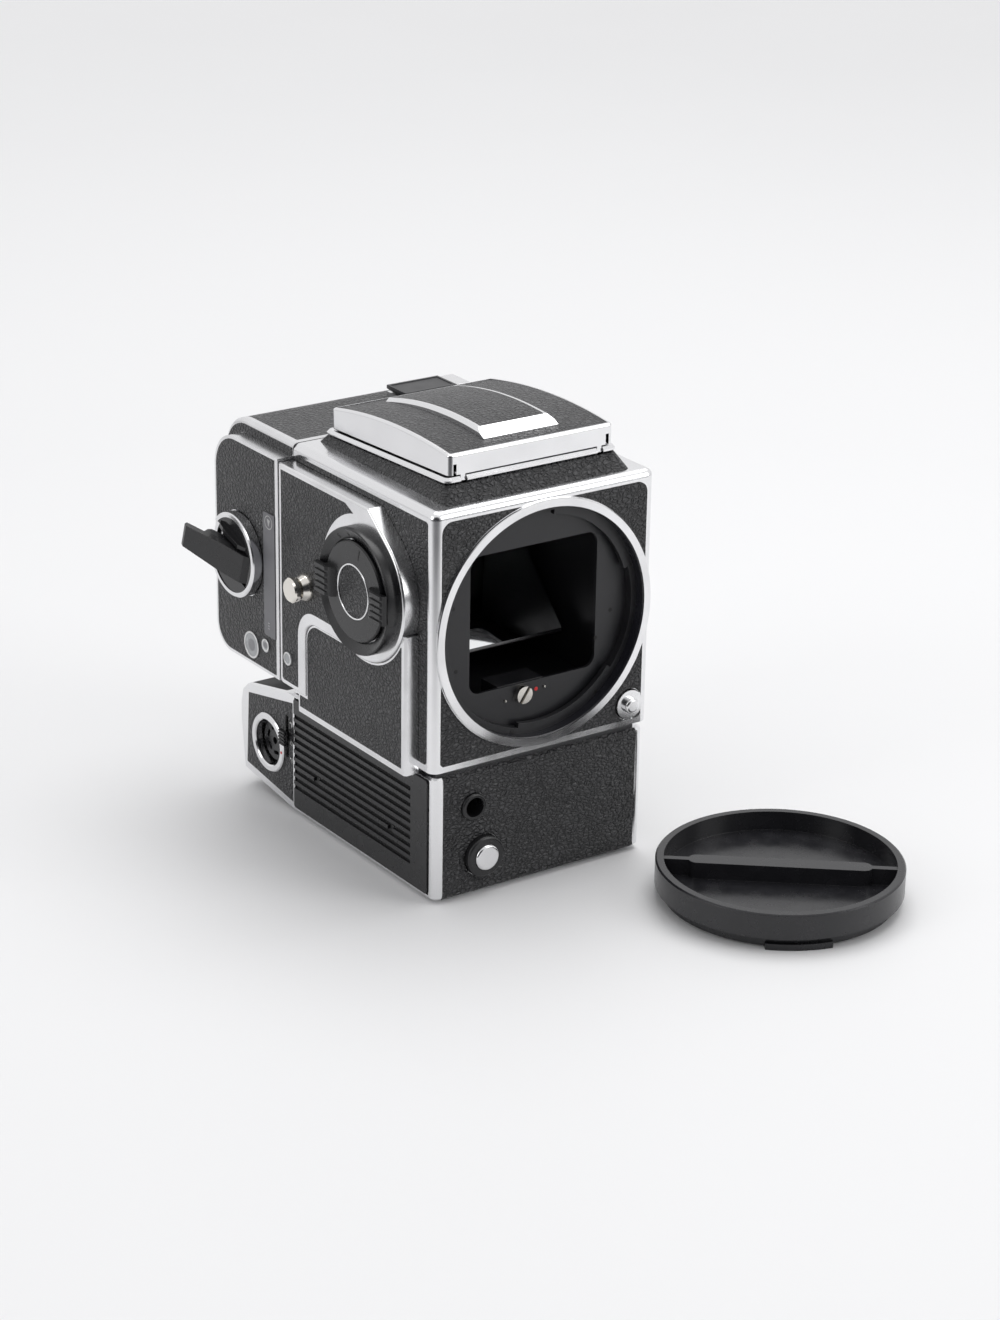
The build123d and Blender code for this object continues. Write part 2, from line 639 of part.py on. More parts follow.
# Leather of the body: four front corners, both sides and the roof's sloping skirt
skirt_top = body_top + skirt_height
frame_half = half_body - 9.65
frame_front = body_front + 7.9
frame_rear = body_rear - 3.5
flange_low_front = body_top + 5.2
flange_low_rear = flange_low_front - flange_drop
flange_tilt = atan2(-flange_drop, frame_rear - frame_front)
flange_plane = Plane(origin=(0, (frame_front + frame_rear) / 2, (flange_low_front + flange_low_rear) / 2),
                     x_dir=(1, 0, 0), z_dir=(0, -sin(flange_tilt), cos(flange_tilt)))
rail_y = 44.0
rail_z = 24.0
rail_length = 40.0
with BuildPart() as body_leather:
    with BuildSketch(front_plane(body_front + leather_thick)):
        add(front_patch(seat_gap))
        with Locations((lock_x, lock_z)):
            Circle(lock_r + 0.5, mode=Mode.SUBTRACT)
    extrude(amount=leather_thick)
    with BuildSketch(side_plane(half_body - leather_thick)):
        add(side_patch.sketch)
        slab(rail_y - rail_length / 2 - 0.1, rail_z - 6.1, rail_y + rail_length / 2 + 0.1, rail_z + 6.1,
             mode=Mode.SUBTRACT)
        with Locations((stud_y, stud_z)):
            Circle(stud_r + 0.1, mode=Mode.SUBTRACT)
    extrude(amount=leather_thick + 0.1)
    with BuildSketch(side_plane(-half_body - 0.1)):
        add(side_patch.sketch)
        add(plate_grown.sketch, mode=Mode.SUBTRACT)
        slab(case_front - 0.15, case_bottom - 1, case_foot + 0.15, 2.15, mode=Mode.SUBTRACT)
    extrude(amount=leather_thick + 0.1)
    with BuildSketch(flat_plane(body_top)) as skirt_foot:
        shape([(-frame_half - 2.6, body_front + 3.6), (frame_half + 2.6, body_front + 3.6),
               (frame_half + 1.0, body_rear - 0.9), (-frame_half - 1.0, body_rear - 0.9)])
        fillet(skirt_foot.vertices(), 3.0)
    with BuildSketch(flange_plane) as skirt_head:
        Rectangle(2 * frame_half - 0.6, (frame_rear - frame_front) / cos(flange_tilt) - 0.6)
        fillet(skirt_head.vertices(), 2.2)
    loft()
    block((-screen_half - 0.2, screen_front - 0.2, body_top - 1),
          (screen_half + 0.2, screen_rear + 0.2, flange_low_front + 1), mode=Mode.SUBTRACT)
    block((-frame_half + 1.0, frame_front + 1.0, skirt_top),
          (frame_half - 1.0, frame_rear - 1.0, flange_low_front + 1), mode=Mode.SUBTRACT)
write(body_leather, "body_leather")

# Mode dial: fixed ring round a seat for the knob
ring_face_x = plate_x - dial_height
knob_seat_x = plate_x - 1.8
with BuildPart() as dial_ring:
    rod_x(dial_r, ring_face_x, plate_x, dial_y, dial_z)
    chamfer(dial_ring.edges().group_by(Axis.X)[0], 1.4)
    rod_x(knob_r + 0.4, ring_face_x - 1, knob_seat_x, dial_y, dial_z, mode=Mode.SUBTRACT)
    rod_x(knob_stem_r + shaft_gap, knob_seat_x - 1, plate_x + 1, dial_y, dial_z, mode=Mode.SUBTRACT)
write(dial_ring, "dial_ring")

# Knob with two ribbed lugs reaching over the ring
knob_back_x = knob_seat_x - running_gap
knob_face_x = knob_back_x - knob_height
lug_face_x = knob_face_x - knob_lug_height
with BuildPart() as selector_knob:
    rod_x(knob_r, knob_face_x, knob_back_x, dial_y, dial_z)
    chamfer(selector_knob.edges().group_by(Axis.X)[0], 0.6)
    rod_x(knob_stem_r, knob_back_x - 1, plate_x + 1.0, dial_y, dial_z)
    for side in (-1, 1):
        inner = dial_y + side * (knob_trim_r + 0.9)
        outer = dial_y + side * (dial_r - 0.7)
        rim = dial_y + side * (knob_r - 0.5)
        with BuildSketch(flat_plane(dial_z - 5.0)):
            shape([(knob_face_x + 0.5, inner), (lug_face_x + 1.2, inner + side * 1.6),
                   (lug_face_x, inner + side * 4.0), (lug_face_x + 0.4, outer - side * 1.2),
                   (ring_face_x - 2.4, outer), (ring_face_x - running_gap, outer),
                   (ring_face_x - running_gap, rim), (knob_face_x + 0.5, rim)])
        extrude(amount=10.0)
        for i in range(4):
            z = dial_z - 3.6 + i * 2.4
            block((lug_face_x - 1, min(inner, outer) - 1, z - 0.45),
                  (lug_face_x + 0.9, max(inner, outer) + 1, z + 0.45), mode=Mode.SUBTRACT)
    rod_x(knob_trim_r + 0.05, knob_face_x - 1, knob_face_x + 1.0, dial_y, dial_z, mode=Mode.SUBTRACT)
write(selector_knob, "selector_knob")

with BuildPart() as knob_trim:
    rod_x(knob_trim_r, knob_face_x - 0.1, knob_face_x + 1.0, dial_y, dial_z)
    rod_x(knob_trim_r - 0.55, knob_face_x - 1, knob_face_x + 0.5, dial_y, dial_z, mode=Mode.SUBTRACT)
write(knob_trim, "knob_trim")

# Involute teeth for the gear train
pressure_angle = radians(20)


def gear_outline(teeth, tooth_angle):
    """Points of a spur gear about the origin, one tooth centred on the given angle."""
    pitch_r = gear_module * teeth / 2
    base_r = pitch_r * cos(pressure_angle)
    tip_r = pitch_r + gear_addendum
    root_r = pitch_r - gear_dedendum
    half_tooth = pi / (2 * teeth) - backlash / (2 * pitch_r)
    roll = tan(pressure_angle) - pressure_angle
    flank = []
    start_r = max(base_r, root_r)
    for i in range(4):
        r = start_r + (tip_r - start_r) * i / 3
        turn = acos(min(1.0, base_r / r))
        flank.append((r, half_tooth + roll - (tan(turn) - turn)))
    if root_r < base_r:
        flank.insert(0, (root_r, flank[0][1]))
    points = []
    for tooth in range(teeth):
        middle = radians(tooth_angle) + 2 * pi * tooth / teeth
        points += [(r * cos(middle - a), r * sin(middle - a)) for r, a in flank]
        points += [(r * cos(middle + a), r * sin(middle + a)) for r, a in reversed(flank)]
    return points


winding_tooth = idler_angle
idler_tooth = idler_angle + 180 + 180 / idler_teeth
idler_lead = (idler_tooth - pinion_angle) % (360 / idler_teeth)
pinion_tooth = pinion_angle + 180 + 180 / pinion_teeth - idler_lead * idler_teeth / pinion_teeth

with BuildPart() as winding_gear:
    with BuildSketch(side_plane(gear_outer_x)):
        with Locations((dial_y, dial_z)):
            shape(gear_outline(winding_teeth, winding_tooth))
            with PolarLocations(10.0, 5):
                Circle(2.8, mode=Mode.SUBTRACT)
    extrude(amount=gear_thick)
    rod_x(winding_shaft_r, gear_inner_x - 0.5, -half_body + body_wall + 3.0, dial_y, dial_z)
write(winding_gear, "winding_gear")

with BuildPart() as idler_gear:
    with BuildSketch(side_plane(gear_outer_x)):
        with Locations((idler_y, idler_z)):
            shape(gear_outline(idler_teeth, idler_tooth))
            Circle(gear_shaft_r + shaft_gap, mode=Mode.SUBTRACT)
            with PolarLocations(8.5, 5):
                Circle(2.2, mode=Mode.SUBTRACT)
    extrude(amount=gear_thick)
write(idler_gear, "idler_gear")

with BuildPart() as drive_pinion:
    with BuildSketch(side_plane(gear_outer_x)):
        with Locations((pinion_y, pinion_z)):
            shape(gear_outline(pinion_teeth, pinion_tooth))
    extrude(amount=gear_thick)
    rod_x(gear_shaft_r, gear_inner_x - 0.5, housing_inner_x - 1.4, pinion_y, pinion_z)
write(drive_pinion, "drive_pinion")

# Strap studs on both sides, and the small signal window
with BuildPart() as strap_studs:
    for side, x in ((-1, plate_x + leather_thick), (1, half_body - leather_thick)):
        rod_x(stud_r, x, x + side * 1.6, stud_y, stud_z)
        rod_x(2.3, x, x + side * 5.2, stud_y, stud_z)
        rod_x(stud_r, x + side * 5.0, x + side * 7.0, stud_y, stud_z)
    chamfer(strap_studs.edges().group_by(Axis.X)[0], 0.5)
    chamfer(strap_studs.edges().group_by(Axis.X)[-1], 0.5)
write(strap_studs, "strap_studs")

with BuildPart() as signal_window:
    rod_x(signal_r, plate_x - 0.3, plate_x + 2.0, signal_y, signal_z)
write(signal_window, "signal_window")

# Accessory rail on the far side
with BuildPart() as accessory_rail:
    block((half_body - leather_thick, rail_y - rail_length / 2, rail_z - 6.0),
          (half_body + 1.6, rail_y + rail_length / 2, rail_z + 6.0))
    with BuildSketch(front_plane(rail_y - rail_length / 2)):
        shape([(half_body + 1.5, rail_z - 3.2), (half_body + 1.5, rail_z + 3.2),
               (half_body + 3.4, rail_z + 5.4), (half_body + 4.6, rail_z + 5.4),
               (half_body + 4.6, rail_z - 5.4), (half_body + 3.4, rail_z - 5.4)])
    extrude(amount=-rail_length)
write(accessory_rail, "accessory_rail")

# Lens mount: chrome ring, black bayonet ring, baffle
with BuildPart() as lens_mount_ring:
    rod_y(mount_ring_r, 0, body_front, 0, 0)
    rod_y(mount_bore_r + 1.0, 0, body_front + mount_sleeve, 0, 0)
    rod_y(mount_bore_r, -1, body_front + mount_sleeve + 1, 0, 0, mode=Mode.SUBTRACT)
    chamfer(lens_mount_ring.edges().group_by(Axis.Y)[0].sort_by(SortBy.RADIUS)[-1], 0.25)
write(lens_mount_ring, "lens_mount_ring")

bayonet_front = body_front + mount_sleeve
with BuildPart() as bayonet_ring:
    rod_y(mount_bore_r + 0.5, bayonet_front, bayonet_front + bayonet_depth, 0, 0)
    rod_y(bayonet_r + 1.6, bayonet_front - 1, bayonet_front + bayonet_depth + 1, 0, 0,
          mode=Mode.SUBTRACT)
    for start in (50, 170, 290):
        with BuildSketch(front_plane(bayonet_front)):
            Circle(bayonet_r + 2.0)
            Circle(bayonet_r, mode=Mode.SUBTRACT)
            shape([(0, 0)] + [(60 * cos(radians(start + a)), 60 * sin(radians(start + a)))
                              for a in (-32, 0, 32)], mode=Mode.INTERSECT)
        extrude(amount=-(bayonet_depth - 1.2))
write(bayonet_ring, "bayonet_ring")

baffle_front = bayonet_front + bayonet_depth + seat_gap
baffle_back = baffle_front + baffle_thick
shaft_z = baffle_window_low - drive_shaft_r - 0.5
with BuildPart() as front_baffle:
    with BuildSketch(front_plane(baffle_front)):
        Circle(mount_bore_r)
        with Locations((0, (baffle_window_low + baffle_window_high) / 2)):
            RectangleRounded(baffle_window, baffle_window_high - baffle_window_low, 4.0,
                             mode=Mode.SUBTRACT)
    extrude(amount=-baffle_thick)
    block((drive_shaft_x - 9, baffle_back - 0.3, box_floor + 0.1),
          (drive_shaft_x + 9, baffle_back + 9, baffle_window_low + 0.2))
    rod_y(drive_shaft_r + shaft_gap, baffle_front - 1, baffle_back + 6, drive_shaft_x, shaft_z,
          mode=Mode.SUBTRACT)
write(front_baffle, "front_baffle")

with BuildPart() as lens_drive_shaft:
    rod_y(drive_shaft_r, baffle_front - 2.2, baffle_back + 5.8, drive_shaft_x, shaft_z)
    with BuildSketch(front_plane(baffle_front - 1.2)):
        with Locations((drive_shaft_x, shaft_z)):
            Rectangle(1.3, 8.0, rotation=-35)
    extrude(amount=2, mode=Mode.SUBTRACT)
write(lens_drive_shaft, "lens_drive_shaft")

# Lens lock button with its stem
with BuildPart() as lens_release_button:
    rod_y(lock_r, body_front - 0.5, body_front + 0.9, lock_x, lock_z)
    rod_y(2.7, body_front - 2.6, body_front - 0.4, lock_x, lock_z)
    fillet(lens_release_button.edges().group_by(Axis.Y)[0], 1.0)
    rod_y(2.4, body_front + 0.8, body_front + 7.0, lock_x, lock_z)
write(lens_release_button, "lens_release_button")

# Mirror box with bores for the mirror's and the flaps' pivots
mirror_pivot_y = body_rear - 7.1
mirror_pivot_z = -box_floor - 1.0
flap_pivot_y = body_rear - 3.1
flap_pivot_z = flap_length + 0.5
pivot_r = 0.9
box_front = baffle_back + seat_gap
box_rear = body_rear - 1.1
with BuildPart() as mirror_box:
    block((-box_half - box_wall, box_front, box_floor - box_wall),
          (box_half + box_wall, box_rear, -box_floor + 3.0))
    block((-box_half, box_front - 1, box_floor), (box_half, box_rear + 1, -box_floor + 4.0),
          mode=Mode.SUBTRACT)
    rod_x(pivot_r + shaft_gap, -box_half - 3, box_half + 3, mirror_pivot_y, mirror_pivot_z,
          mode=Mode.SUBTRACT)
    for z in (-flap_pivot_z, flap_pivot_z):
        rod_x(0.7 + shaft_gap, -box_half - 3, box_half + 3, flap_pivot_y, z, mode=Mode.SUBTRACT)
write(mirror_box, "mirror_box")

# Swinging mirror, down at 45 degrees: points along the glass and above it
mirror_tilt = radians(45)


def mirror_point(run, rise):
    """Point of the mirror's section, in (y, z), measured from its pivot."""
    return (mirror_pivot_y - run * cos(mirror_tilt) - rise * sin(mirror_tilt),
            mirror_pivot_z - run * sin(mirror_tilt) + rise * cos(mirror_tilt))


with BuildPart() as mirror_frame:
    with BuildSketch(side_plane(-mirror_half)):
        shape([mirror_point(0, 0), mirror_point(mirror_length, 0),
               mirror_point(mirror_length, mirror_plate), mirror_point(0, mirror_plate)])
    extrude(amount=2 * mirror_half)
    rod_x(pivot_r, -box_half - 0.9, box_half + 0.9, mirror_pivot_y, mirror_pivot_z)
write(mirror_frame, "mirror_frame")

glass_rise = mirror_plate + mirror_glass_thick
with BuildPart() as mirror_glass:
    with BuildSketch(side_plane(-mirror_half + 0.6)):
        shape([mirror_point(2.2, mirror_plate), mirror_point(mirror_length - 0.6, mirror_plate),
               mirror_point(mirror_length - 0.6, glass_rise), mirror_point(2.2, glass_rise)])
    extrude(amount=2 * mirror_half - 1.2)
write(mirror_glass, "mirror_glass")

# Auxiliary shutter: upper and lower flaps behind the mirror
for label, side in (("upper_shutter_flap", 1), ("lower_shutter_flap", -1)):
    with BuildPart() as flap:
        block((-flap_half, flap_pivot_y - flap_thick / 2, min(0.4 * side, flap_pivot_z * side)),
              (flap_half, flap_pivot_y + flap_thick / 2, max(0.4 * side, flap_pivot_z * side)))
        rod_x(0.7, -box_half - 0.9, box_half + 0.9, flap_pivot_y, flap_pivot_z * side)
    write(flap, label)

with BuildPart() as focusing_screen:
    block((-screen_half, screen_front, screen_z), (screen_half, screen_rear, screen_z + screen_thick))
write(focusing_screen, "focusing_screen")

# Hood frame: sloping flange, floor round the screen, bearings of the folding panels
frame_top = skirt_top + 1.8
flange_top_front = flange_low_front + flange_thick
flange_top_rear = flange_low_rear + flange_thick - 0.3
lid_front = frame_front + 0.8
lid_rear = lid_front + lid_length
lid_low_front = flange_top_front + 0.5
lid_low_rear = flange_top_rear + 0.7
lid_pin_r = 0.5
lug_r = 0.85
lug_half = 0.9
lug_x = lid_half - 5.4
lid_pivot_y = lid_front + 0.9
lid_pivot_z = lid_low_front - 1.9
panel_x = lid_half - 2.6
panel_z = frame_top + 3.4
panel_front = lid_front + 4.6
panel_rear = lid_rear - 4.6
rear_pivot_y = lid_rear - 2.8
rear_pivot_z = frame_top + 2.0
ear_front_y = panel_front - 0.9
ear_rear_y = lid_rear - 2.7
with BuildPart() as hood_frame:
    with BuildSketch(side_plane(-frame_half)):
        shape([(frame_front, flange_low_front), (frame_front, flange_top_front),
               (frame_rear, flange_top_rear), (frame_rear, flange_low_rear)])
    extrude(amount=2 * frame_half)
    fillet(hood_frame.edges().filter_by(Axis.Z), 2.5)
    chamfer(hood_frame.faces().sort_by(Axis.Z)[-1].outer_wire().edges(), 0.9)
    block((-frame_half + 1.1, frame_front + 1.1, skirt_top), (frame_half - 1.1, frame_rear - 1.1, frame_top))
    block((-lid_half + 1.45, lid_front + 2.4, frame_top), (lid_half - 1.45, lid_rear, lid_low_front + 1),
          mode=Mode.SUBTRACT)
    block((-screen_half + 0.6, screen_front - 2.0, skirt_top - 1),
          (screen_half - 0.6, screen_rear - 2.5, frame_top + 1), mode=Mode.SUBTRACT)
    for side in (-1, 1):
        x = side * lug_x
        block((x - lug_half - running_gap, frame_front - 1, lid_pivot_z - lug_r - 0.25),
              (x + lug_half + running_gap, lid_pivot_y + lug_r + running_gap, lid_low_front + 1),
              mode=Mode.SUBTRACT)
        rod_x(lid_pin_r, x - lug_half - 1, x + lug_half + 1, lid_pivot_y, lid_pivot_z)
        x = side * (panel_x - 0.1)
        for y in (ear_front_y, ear_rear_y):
            block((x - 1.35, y - 0.6, frame_top - 0.2), (x + 1.35, y + 0.6, panel_z + 1.2))
        rod_y(hinge_rod_r + shaft_gap, ear_front_y - 1, ear_rear_y + 1, side * panel_x, panel_z,
              mode=Mode.SUBTRACT)
        x = side * (panel_x - 2.2)
        block((x - 0.6, rear_pivot_y - 1.1, frame_top - 0.2),
              (x + 0.6, rear_pivot_y + 1.1, rear_pivot_z + 1.1))
    rod_x(hinge_rod_r + shaft_gap, -panel_x + 1.5, panel_x - 1.5, rear_pivot_y, rear_pivot_z,
          mode=Mode.SUBTRACT)
write(hood_frame, "hood_frame")

# Lid: arched pressing with a raised block, open underneath
lid_mid_y = (lid_front + lid_rear) / 2
lid_top_front = lid_low_front + lid_front_height
lid_top_rear = lid_low_rear + lid_rear_height
lid_top_mid = (lid_top_front + lid_top_rear) / 2 + lid_crown


def lid_band(inset, drop, front_z, rear_z):
    """Edges of a side view bounded by the lid's arch, lowered and shortened."""
    with BuildLine() as line:
        ThreePointArc((lid_front + inset, lid_top_front - drop), (lid_mid_y, lid_top_mid - drop),
                      (lid_rear - inset, lid_top_rear - drop))
        Polyline((lid_rear - inset, lid_top_rear - drop), (lid_rear - inset, rear_z),
                 (lid_front + inset, front_z), (lid_front + inset, lid_top_front - drop))
    return line.edges()


block_front = lid_front + 6.2
block_rear = lid_rear - 6.0
top_start_y = block_front + 5.0
block_rise = 3.5


def block_arch(drop, front_y, rear_y, other_z):
    """Edges of a side view bounded by the raised block's arch, lowered."""
    with BuildLine() as line:
        arch = ThreePointArc((top_start_y, lid_top_front + block_rise - drop),
                             (lid_mid_y + 2.0, lid_top_mid + 2.2 - drop),
                             (block_rear, lid_top_rear + 2.0 - drop))
        Polyline(arch @ 1, (rear_y, other_z), (front_y, other_z), arch @ 0)
    return line.edges()


# Raised block, solid down to the middle of the lid's sheet
with BuildPart() as lid_block:
    with BuildSketch(side_plane(-block_half)):
        make_face(block_arch(0, block_front, block_rear, lid_top_front - 3.0))
        shape([(block_front, lid_top_front - 3.0), (block_front, lid_top_front + 1.0),
               (top_start_y, lid_top_front + block_rise), (top_start_y, lid_top_front - 3.0)])
    extrude(amount=2 * block_half)
    chamfer(lid_block.edges().filter_by(GeomType.CIRCLE), 1.1)
    with BuildSketch(side_plane(-block_half + 2.0)):
        make_face(block_arch(0.45, top_start_y, block_rear, lid_top_mid + 8))
    extrude(amount=2 * block_half - 4.0, mode=Mode.SUBTRACT)

magnifier_pivot_y = lid_rear - 7.0
magnifier_pivot_z = frame_top + 5.6
magnifier_y = magnifier_pivot_y - magnifier_r - 1.0
with BuildPart() as hood_lid:
    with BuildSketch(side_plane(-lid_half)):
        make_face(lid_band(0, 0, lid_low_front, lid_low_rear))
    extrude(amount=2 * lid_half)
    fillet(hood_lid.edges().filter_by(Axis.Z), 1.6)
    fillet(hood_lid.faces().sort_by(Axis.Z)[-1].outer_wire().edges(), 0.9)
    with BuildSketch(side_plane(-lid_half + 1.3)):
        make_face(lid_band(1.3, 0.5, lid_top_mid + 5, lid_top_mid + 5))
    extrude(amount=2 * lid_half - 2.6, mode=Mode.SUBTRACT)
    add(lid_block.part)
    with BuildSketch(side_plane(-lid_half + lid_wall)):
        make_face(lid_band(lid_wall, lid_wall + 0.6, frame_top - 5, frame_top - 5))
    extrude(amount=2 * (lid_half - lid_wall), mode=Mode.SUBTRACT)
    for side in (-1, 1):
        # lugs on the frame's pins, and lugs that carry the magnifier
        x = side * lug_x
        block((x - lug_half, lid_front + 0.05, lid_pivot_z), (x + lug_half, lid_front + 1.7, lid_low_front + 2))
        rod_x(lug_r, x - lug_half, x + lug_half, lid_pivot_y, lid_pivot_z)
        rod_x(lid_pin_r + shaft_gap, x - lug_half - 1, x + lug_half + 1, lid_pivot_y, lid_pivot_z,
              mode=Mode.SUBTRACT)
        x = side * 7.4
        block((x - 0.8, magnifier_pivot_y - 1.3, magnifier_pivot_z - 1.3),
              (x + 0.8, magnifier_pivot_y + 1.3, lid_top_rear + 0.2))
        # slot between the front lip and the side wall
        corner = side * (lid_half - 2.3)
        block((corner - 0.6, lid_front - 1, lid_low_front - 1),
              (corner + 0.6, lid_front + lid_wall + 0.2, lid_low_front + 3.6), mode=Mode.SUBTRACT)
    rod_x(hinge_rod_r + shaft_gap, -9, 9, magnifier_pivot_y, magnifier_pivot_z, mode=Mode.SUBTRACT)
write(hood_lid, "hood_lid")


# Leather of the lid and of its raised block
def sheet(low, high):
    """Edges of the side view of a leather sheet between two arches of three points."""
    with BuildLine() as line:
        under = ThreePointArc(*low)
        over = ThreePointArc(*high)
        Line(under @ 0, over @ 0)
        Line(under @ 1, over @ 1)
    return line.edges()


def lid_arch(drop):
    """Ends and middle of the lid's leather, lowered."""
    return ((lid_front + 1.3, lid_top_front - drop), (lid_mid_y, lid_top_mid - drop),
            (lid_rear - 1.3, lid_top_rear - drop))


def block_points(drop):
    """Ends and middle of the raised block's leather, lowered."""
    return ((top_start_y, lid_top_front + block_rise - drop), (lid_mid_y + 2.0, lid_top_mid + 2.2 - drop),
            (block_rear, lid_top_rear + 2.0 - drop))


with BuildPart() as hood_lid_leather:
    with BuildSketch(side_plane(-lid_half + 1.4)):
        make_face(sheet(lid_arch(0.5), lid_arch(0.0)))
    extrude(amount=2 * lid_half - 2.8)
    block((-block_half - 0.1, block_front - 0.1, lid_top_front - 5),
          (block_half + 0.1, block_rear + 0.1, lid_top_mid + 5), mode=Mode.SUBTRACT)
    with BuildSketch(side_plane(-block_half + 2.1)):
        make_face(sheet(block_points(0.45), block_points(-0.05)))
    extrude(amount=2 * block_half - 4.2)
write(hood_lid_leather, "hood_lid_leather")

# Folding light panels, lying flat under the lid
for label, side in (("hood_side_panel_left", -1), ("hood_side_panel_right", 1)):
    with BuildPart() as panel:
        with BuildSketch(flat_plane(panel_z - panel_thick / 2)):
            shape([(side * panel_x, panel_front), (side * (panel_x - 9.5), panel_front),
                   (side * (panel_x - side_panel_height), lid_front + 16.6),
                   (side * (panel_x - side_panel_height), lid_front + 21.6),
                   (side * (panel_x - 17), lid_front + 34.6), (side * (panel_x - 17), lid_front + 48.6),
                   (side * panel_x, panel_rear)])
        extrude(amount=panel_thick)
        rod_y(hinge_rod_r, ear_front_y - 0.5, ear_rear_y + 0.5, side * panel_x, panel_z)
    write(panel, label)

with BuildPart() as hood_rear_panel:
    with BuildSketch(flat_plane(rear_pivot_z - panel_thick / 2)):
        shape([(-panel_x + 3.4, rear_pivot_y), (panel_x - 3.4, rear_pivot_y),
               (10.4, rear_pivot_y - rear_panel_height), (-10.4, rear_pivot_y - rear_panel_height)])
    extrude(amount=panel_thick)
    rod_x(hinge_rod_r, -panel_x + 1.7, panel_x - 1.7, rear_pivot_y, rear_pivot_z)
write(hood_rear_panel, "hood_rear_panel")

with BuildPart() as magnifier_frame:
    rod_z(magnifier_r, magnifier_pivot_z - 1.5, magnifier_pivot_z + 1.5, 0, magnifier_y)
    block((-6, magnifier_y, magnifier_pivot_z - 1.0), (6, magnifier_pivot_y, magnifier_pivot_z + 1.0))
    rod_x(hinge_rod_r, -8.1, 8.1, magnifier_pivot_y, magnifier_pivot_z)
    rod_z(magnifier_lens_r, magnifier_pivot_z - 3, magnifier_pivot_z + 3, 0, magnifier_y,
          mode=Mode.SUBTRACT)
write(magnifier_frame, "magnifier_frame")

with BuildPart() as magnifier_lens:
    rod_z(magnifier_lens_r - 0.05, magnifier_pivot_z - 1.0, magnifier_pivot_z + 1.0, 0, magnifier_y)
write(magnifier_lens, "magnifier_lens")

# Film magazine casing: front wall with the film gate, chamber open at the far end
gate_back = magazine_front + 5.7
side_cover_rear = magazine_rear - 3.5
chamber_rear = magazine_rear - magazine_wall - 1.0
slide_y = magazine_front + 2.2
crank_y = magazine_front + 24.6
crank_z = 0.0
cover_patch_front = magazine_front + 2.0


def rounded_side(front, low, rear, high, high_round, low_round):
    """Side view with its two rear corners rounded."""
    with BuildSketch() as view:
        slab(front, low, rear, high)
        round_corner(view, (rear, high), high_round)
        round_corner(view, (rear, low), low_round)
    return view.sketch


magazine_side = rounded_side(magazine_front, magazine_bottom, magazine_rear, magazine_top, 14.0, 10.0)
wrap_side = rounded_side(magazine_front + 2.4, magazine_bottom + 0.5, magazine_rear - 0.5,
                         magazine_top - 0.5, 13.5, 9.5)
cover_side = rounded_side(magazine_front, side_cover_bottom, side_cover_rear, side_cover_top, 13.0, 9.5)
cover_patch = rounded_side(cover_patch_front, side_cover_bottom + 1.1, side_cover_rear - 1.1,
                           side_cover_top - 1.1, 11.9, 8.4)
window_places = ((side_cover_rear - 23.1, side_cover_bottom + 6.5, 4.3),
                 (side_cover_rear - 32.6, side_cover_bottom + 9.5, 2.3))
catch_x = 22.5
catch_y = magazine_front + 22.6
catch_travel = 5.0
track_top = magazine_top + 1.3
with BuildPart() as magazine_shell:
    with BuildSketch(side_plane(-half_body)):
        add(magazine_side)
    extrude(amount=2 * half_body)
    fillet(magazine_shell.faces().sort_by(Axis.X)[0].outer_wire().edges().sort_by(Axis.Y)[1:], 1.6)
    fillet(magazine_shell.faces().sort_by(Axis.X)[-1].outer_wire().edges().sort_by(Axis.Y)[1:], 1.6)
    # shallow band for the leather round the top, back and underside
    with BuildSketch(side_plane(-half_body + 3.0)):
        slab(magazine_front + 2.4, magazine_bottom - 1, magazine_rear + 1, magazine_top + 1)
        add(wrap_side, mode=Mode.SUBTRACT)
    extrude(amount=2 * half_body - 6.0, mode=Mode.SUBTRACT)
    with BuildSketch(side_plane(plate_x)):
        add(cover_side)
    extrude(amount=plate_rise + 1)
    block((half_body - 1, magazine_front, side_cover_bottom),
          (half_body + plate_rise, gate_back - 0.2, side_cover_top))
    block((-half_body + magazine_wall, gate_back, magazine_bottom + 7),
          (half_body + 1, chamber_rear, magazine_top - 7.4), mode=Mode.SUBTRACT)
    # film gate and the dark slide's slot
    block((-film_gate / 2, magazine_front - 1, -film_gate / 2),
          (film_gate / 2, gate_back + 1, film_gate / 2), mode=Mode.SUBTRACT)
    block((-film_gate / 2 - 2, slide_y - slide_thick / 2 - 0.25, -film_gate / 2 - 1.2),
          (half_body + plate_rise + 1, slide_y + slide_thick / 2 + 0.25, film_gate / 2 + 1.2),
          mode=Mode.SUBTRACT)
    # side cover: leather, crank well with its bore, and windows
    with BuildSketch(side_plane(plate_x)):
        add(cover_patch)
    extrude(amount=leather_thick, mode=Mode.SUBTRACT)
    rod_x(crank_r - 1.3, plate_x - 1, plate_x + 2.0, crank_y, crank_z, mode=Mode.SUBTRACT)
    rod_x(winding_shaft_r + shaft_gap, plate_x, -half_body + magazine_wall + 1, crank_y, crank_z,
          mode=Mode.SUBTRACT)
    for y, z, r in window_places:
        rod_x(r + 0.1, plate_x - 1, plate_x + 2.0, y, z, mode=Mode.SUBTRACT)
    # track of the release catch on the top, with its slot
    block((catch_x - 10.0, catch_y - 6.6, magazine_top - 1), (catch_x + 17.0, catch_y + 6.6, track_top))
    block((catch_x + 11.0, catch_y - 5.6, magazine_top - 1),
          (catch_x + 16.5, catch_y + 5.6, track_top + 2.2))
    block((catch_x - catch_travel - 2.4, catch_y - 2.3, magazine_top - 2.4),
          (catch_x + 2.4, catch_y + 2.3, track_top + 1), mode=Mode.SUBTRACT)
write(magazine_shell, "magazine_shell")

